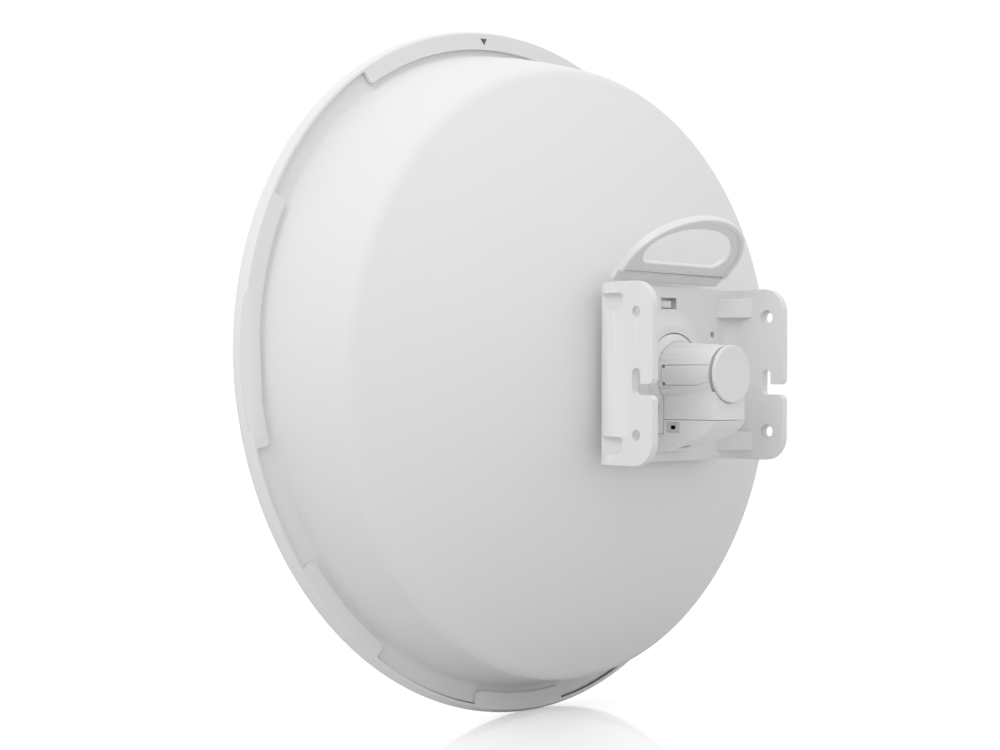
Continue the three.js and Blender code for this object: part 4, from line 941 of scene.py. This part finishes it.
def curve(start, control, end, steps):
    """Points on a smooth curve that leaves start towards control and arrives at end."""
    points = []
    for i in range(1, steps + 1):
        t = i / steps
        points.append(tuple((1 - t) ** 2 * a + 2 * t * (1 - t) * b + t ** 2 * c
                            for a, b, c in zip(start, control, end)))
    return points


def cover_line(wall):
    """Side view of the port cover, shrunk all round by a wall."""
    top = cover_high.z + (MM if wall else 0)
    rear, front, bottom = cover_high.y - wall, cover_low.y + wall, cover_low.z + wall
    step, ledge = BARREL_FRONT + wall, collar_low.z - GAP - wall
    knee = (4 * MM, bottom + 9.6 * MM)
    belly_bend = ((front + knee[0]) / 2, (bottom + knee[1]) / 2 - 0.5 * MM)
    belly = curve((front, bottom), belly_bend, knee, 10)
    heel = curve(knee, (rear - 1.8 * MM, bottom + 14.5 * MM), (rear, top), 10)
    return [(step, top), (step, ledge), (front, ledge), (front, bottom), *belly, *heel]


def port_cover():
    wall = 1.8 * MM
    cover = prism("port_cover_shell", cover_line(0), 0, -BODY_HALF, BODY_HALF)
    hollow = prism("cover_hollow", cover_line(wall), 0, wall - BODY_HALF, BODY_HALF - wall)
    way = rod("cable_way_cutter", 2, 4 * MM, cover_low.z - MM, cover_low.z + 10 * MM, 0, -17 * MM)
    cut(cover, hollow, way)
    return moulded(rounded(cover, 0.8 * MM, 3, 45), "port_cover", "port_cover")


def port_icon():
    """Raised plate with a plain network-port outline, on each side of the port cover."""
    low_y, high_y, low_z, high_z = -19.6 * MM, -9.4 * MM, -35.8 * MM, -29.2 * MM
    rise, line = 0.25 * MM, 0.55 * MM
    for side, name in ((1, "left"), (-1, "right")):
        face = side * BODY_HALF
        xs = sorted((face - side * 0.2 * MM, face + side * rise))
        plate = block(f"port_icon_{name}", (xs[0], low_y, low_z), (xs[1], high_y, high_z))
        inner = sorted((face + side * 0.05 * MM, face + side * 2 * MM))
        cut(plate, block("icon_cutter", (inner[0], low_y + line, low_z + line),
                         (inner[1], high_y - line, high_z - line)))
        centre = (low_y + high_y) / 2
        deep = sorted((face - side * 0.1 * MM, face + side * rise))
        socket = block("icon_socket", (deep[0], centre - 2.4 * MM, low_z + 1.5 * MM),
                       (deep[1], centre + 2.4 * MM, high_z - 1.4 * MM))
        inside = block("icon_inside", (inner[0], centre - 1.8 * MM, low_z + 2.1 * MM),
                       (inner[1], centre + 1.8 * MM, high_z - 2 * MM))
        together(plate, cut(socket, inside))
        finished(rounded(plate, 0.06 * MM, 1), "port_cover", "housing_plastic", ICON_INK)


# ---------------------------------------------------------------- small parts, softened from the CAD

def softened(node, slot, body, width):
    """A copy of a CAD node with its triangles merged into faces and its edges rounded."""
    source = frame["nodes"][node]
    copy = bpy.data.objects.new(node + "_finished", source.data.copy())
    bpy.context.scene.collection.objects.link(copy)
    edit(copy)
    bpy.ops.mesh.select_all(action="SELECT")
    bpy.ops.mesh.remove_doubles(threshold=MERGE)
    bpy.ops.mesh.dissolve_limited(angle_limit=math.radians(1))
    leave()
    rounded(copy, width, 2, 35)
    return finished(copy, body, slot, FINISHES[slot], node)


SMALL_PARTS = {
    "screw_steel": ([*(f"bracket_bolt_{i}" for i in range(1, 5)), "board_screw_1", "board_screw_2",
                     "shield_can"], 0.3),
    "bare_metal": (["feed_tube", "sub_reflector", "coax_line_1", "coax_line_2"], 0.3),
    "black_plastic": (["network_jack", "reset_switch"], 0.25),
    "clear_plastic": (["light_pipe"], 0.3),
    "seal_rubber": (["end_cap_seal"], 0.3),
    "board_laminate": (["radio_board", "feed_radiator"], 0.1),
    "housing_plastic": (["feed_cap"], 0.3),
}


def small_parts():
    for slot, (nodes, width) in SMALL_PARTS.items():
        for node in nodes:
            softened(node, slot, "bridge_body", width * MM)
    softened("release_latch", "housing_plastic", "latch", 0.5 * MM)
    softened("reset_button", "black_plastic", "reset", 0.3 * MM)


# ---------------------------------------------------------------- studio

def studio_floor():
    bpy.ops.object.select_all(action="DESELECT")
    bpy.ops.mesh.primitive_plane_add(size=30, location=(0, 0, cad_low.z))
    floor = named("studio_floor")
    material = bpy.data.materials.new("pale_studio_floor")
    material.use_nodes = True
    shader = material.node_tree.nodes["Principled BSDF"]
    shader.inputs["Base Color"].default_value = (0.68, 0.68, 0.68, 1)
    shader.inputs["Roughness"].default_value = 0.08
    shader.inputs["Emission Color"].default_value = (1, 1, 1, 1)
    rays = material.node_tree.nodes.new("ShaderNodeLightPath")
    seen = math_node(material.node_tree, "MULTIPLY", rays.outputs["Is Camera Ray"], 0.4)
    material.node_tree.links.new(seen, shader.inputs["Emission Strength"])
    floor.data.materials.append(material)


def studio_sky():
    """Soft light from all round, strongest from above."""
    world = bpy.data.worlds.new("studio")
    world.use_nodes = True
    bpy.context.scene.world = world
    tree = world.node_tree
    background = tree.nodes["Background"]
    background.inputs["Color"].default_value = (1, 1, 1, 1)
    direction = tree.nodes.new("ShaderNodeTexCoord").outputs["Generated"]
    split = tree.nodes.new("ShaderNodeSeparateXYZ")
    tree.links.new(direction, split.inputs[0])
    shade = tree.nodes.new("ShaderNodeMapRange")
    shade.inputs["From Min"].default_value = -0.6
    shade.inputs["From Max"].default_value = 0.7
    shade.inputs["To Min"].default_value = 0.5
    shade.inputs["To Max"].default_value = 1.05
    tree.links.new(split.outputs["Z"], shade.inputs["Value"])
    rays = tree.nodes.new("ShaderNodeLightPath")
    seen = math_node(tree, "MAXIMUM", rays.outputs["Is Camera Ray"], rays.outputs["Is Glossy Ray"])
    mix = tree.nodes.new("ShaderNodeMix")
    mix.inputs["B"].default_value = 1.02
    tree.links.new(seen, mix.inputs["Factor"])
    tree.links.new(shade.outputs["Result"], mix.inputs["A"])
    tree.links.new(mix.outputs["Result"], background.inputs["Strength"])


def soft_light(name, place, aim, size, power):
    lamp = bpy.data.lights.new(name, "AREA")
    lamp.shape = "DISK"
    lamp.size = size
    lamp.energy = power
    holder = bpy.data.objects.new(name, lamp)
    bpy.context.scene.collection.objects.link(holder)
    holder.location = place
    holder.rotation_mode = "QUATERNION"
    holder.rotation_quaternion = (Vector(aim) - Vector(place)).to_track_quat("-Z", "Y")


def camera():
    azimuth, elevation, roll = math.radians(136.16), math.radians(-0.3), math.radians(0.16)
    distance, side_step, rise = 1.11247, 0.01116, 0.00431
    back = Vector((math.sin(azimuth) * math.cos(elevation),
                   -math.cos(azimuth) * math.cos(elevation), math.sin(elevation)))
    level = Vector((math.cos(azimuth), math.sin(azimuth), 0))
    above = back.cross(level)
    right = level * math.cos(roll) + above * math.sin(roll)
    up = above * math.cos(roll) - level * math.sin(roll)
    lens = bpy.data.cameras.new("camera")
    lens.lens = 58.9
    lens.sensor_width = 36
    lens.clip_start = 0.05
    holder = bpy.data.objects.new("camera", lens)
    bpy.context.scene.collection.objects.link(holder)
    place = RIM_CENTRE + back * distance - right * side_step - up * rise
    turned_frame = Matrix((right, up, back)).transposed().to_4x4()
    holder.matrix_world = Matrix.Translation(place) @ turned_frame
    bpy.context.scene.camera = holder


# ---------------------------------------------------------------- build

camera()
front_radome()
alignment_mark()
reflector_dish()
mount_bracket()
mount_collar()
rear_housing()
side_panels()
end_cap()
port_cover()
port_icon()
small_parts()
studio_floor()
studio_sky()
soft_light("key_light", (1.9, 0.4, 1.6), (0, -0.05, 0), 1.6, 12)
bpy.context.scene.view_settings.view_transform = "Standard"
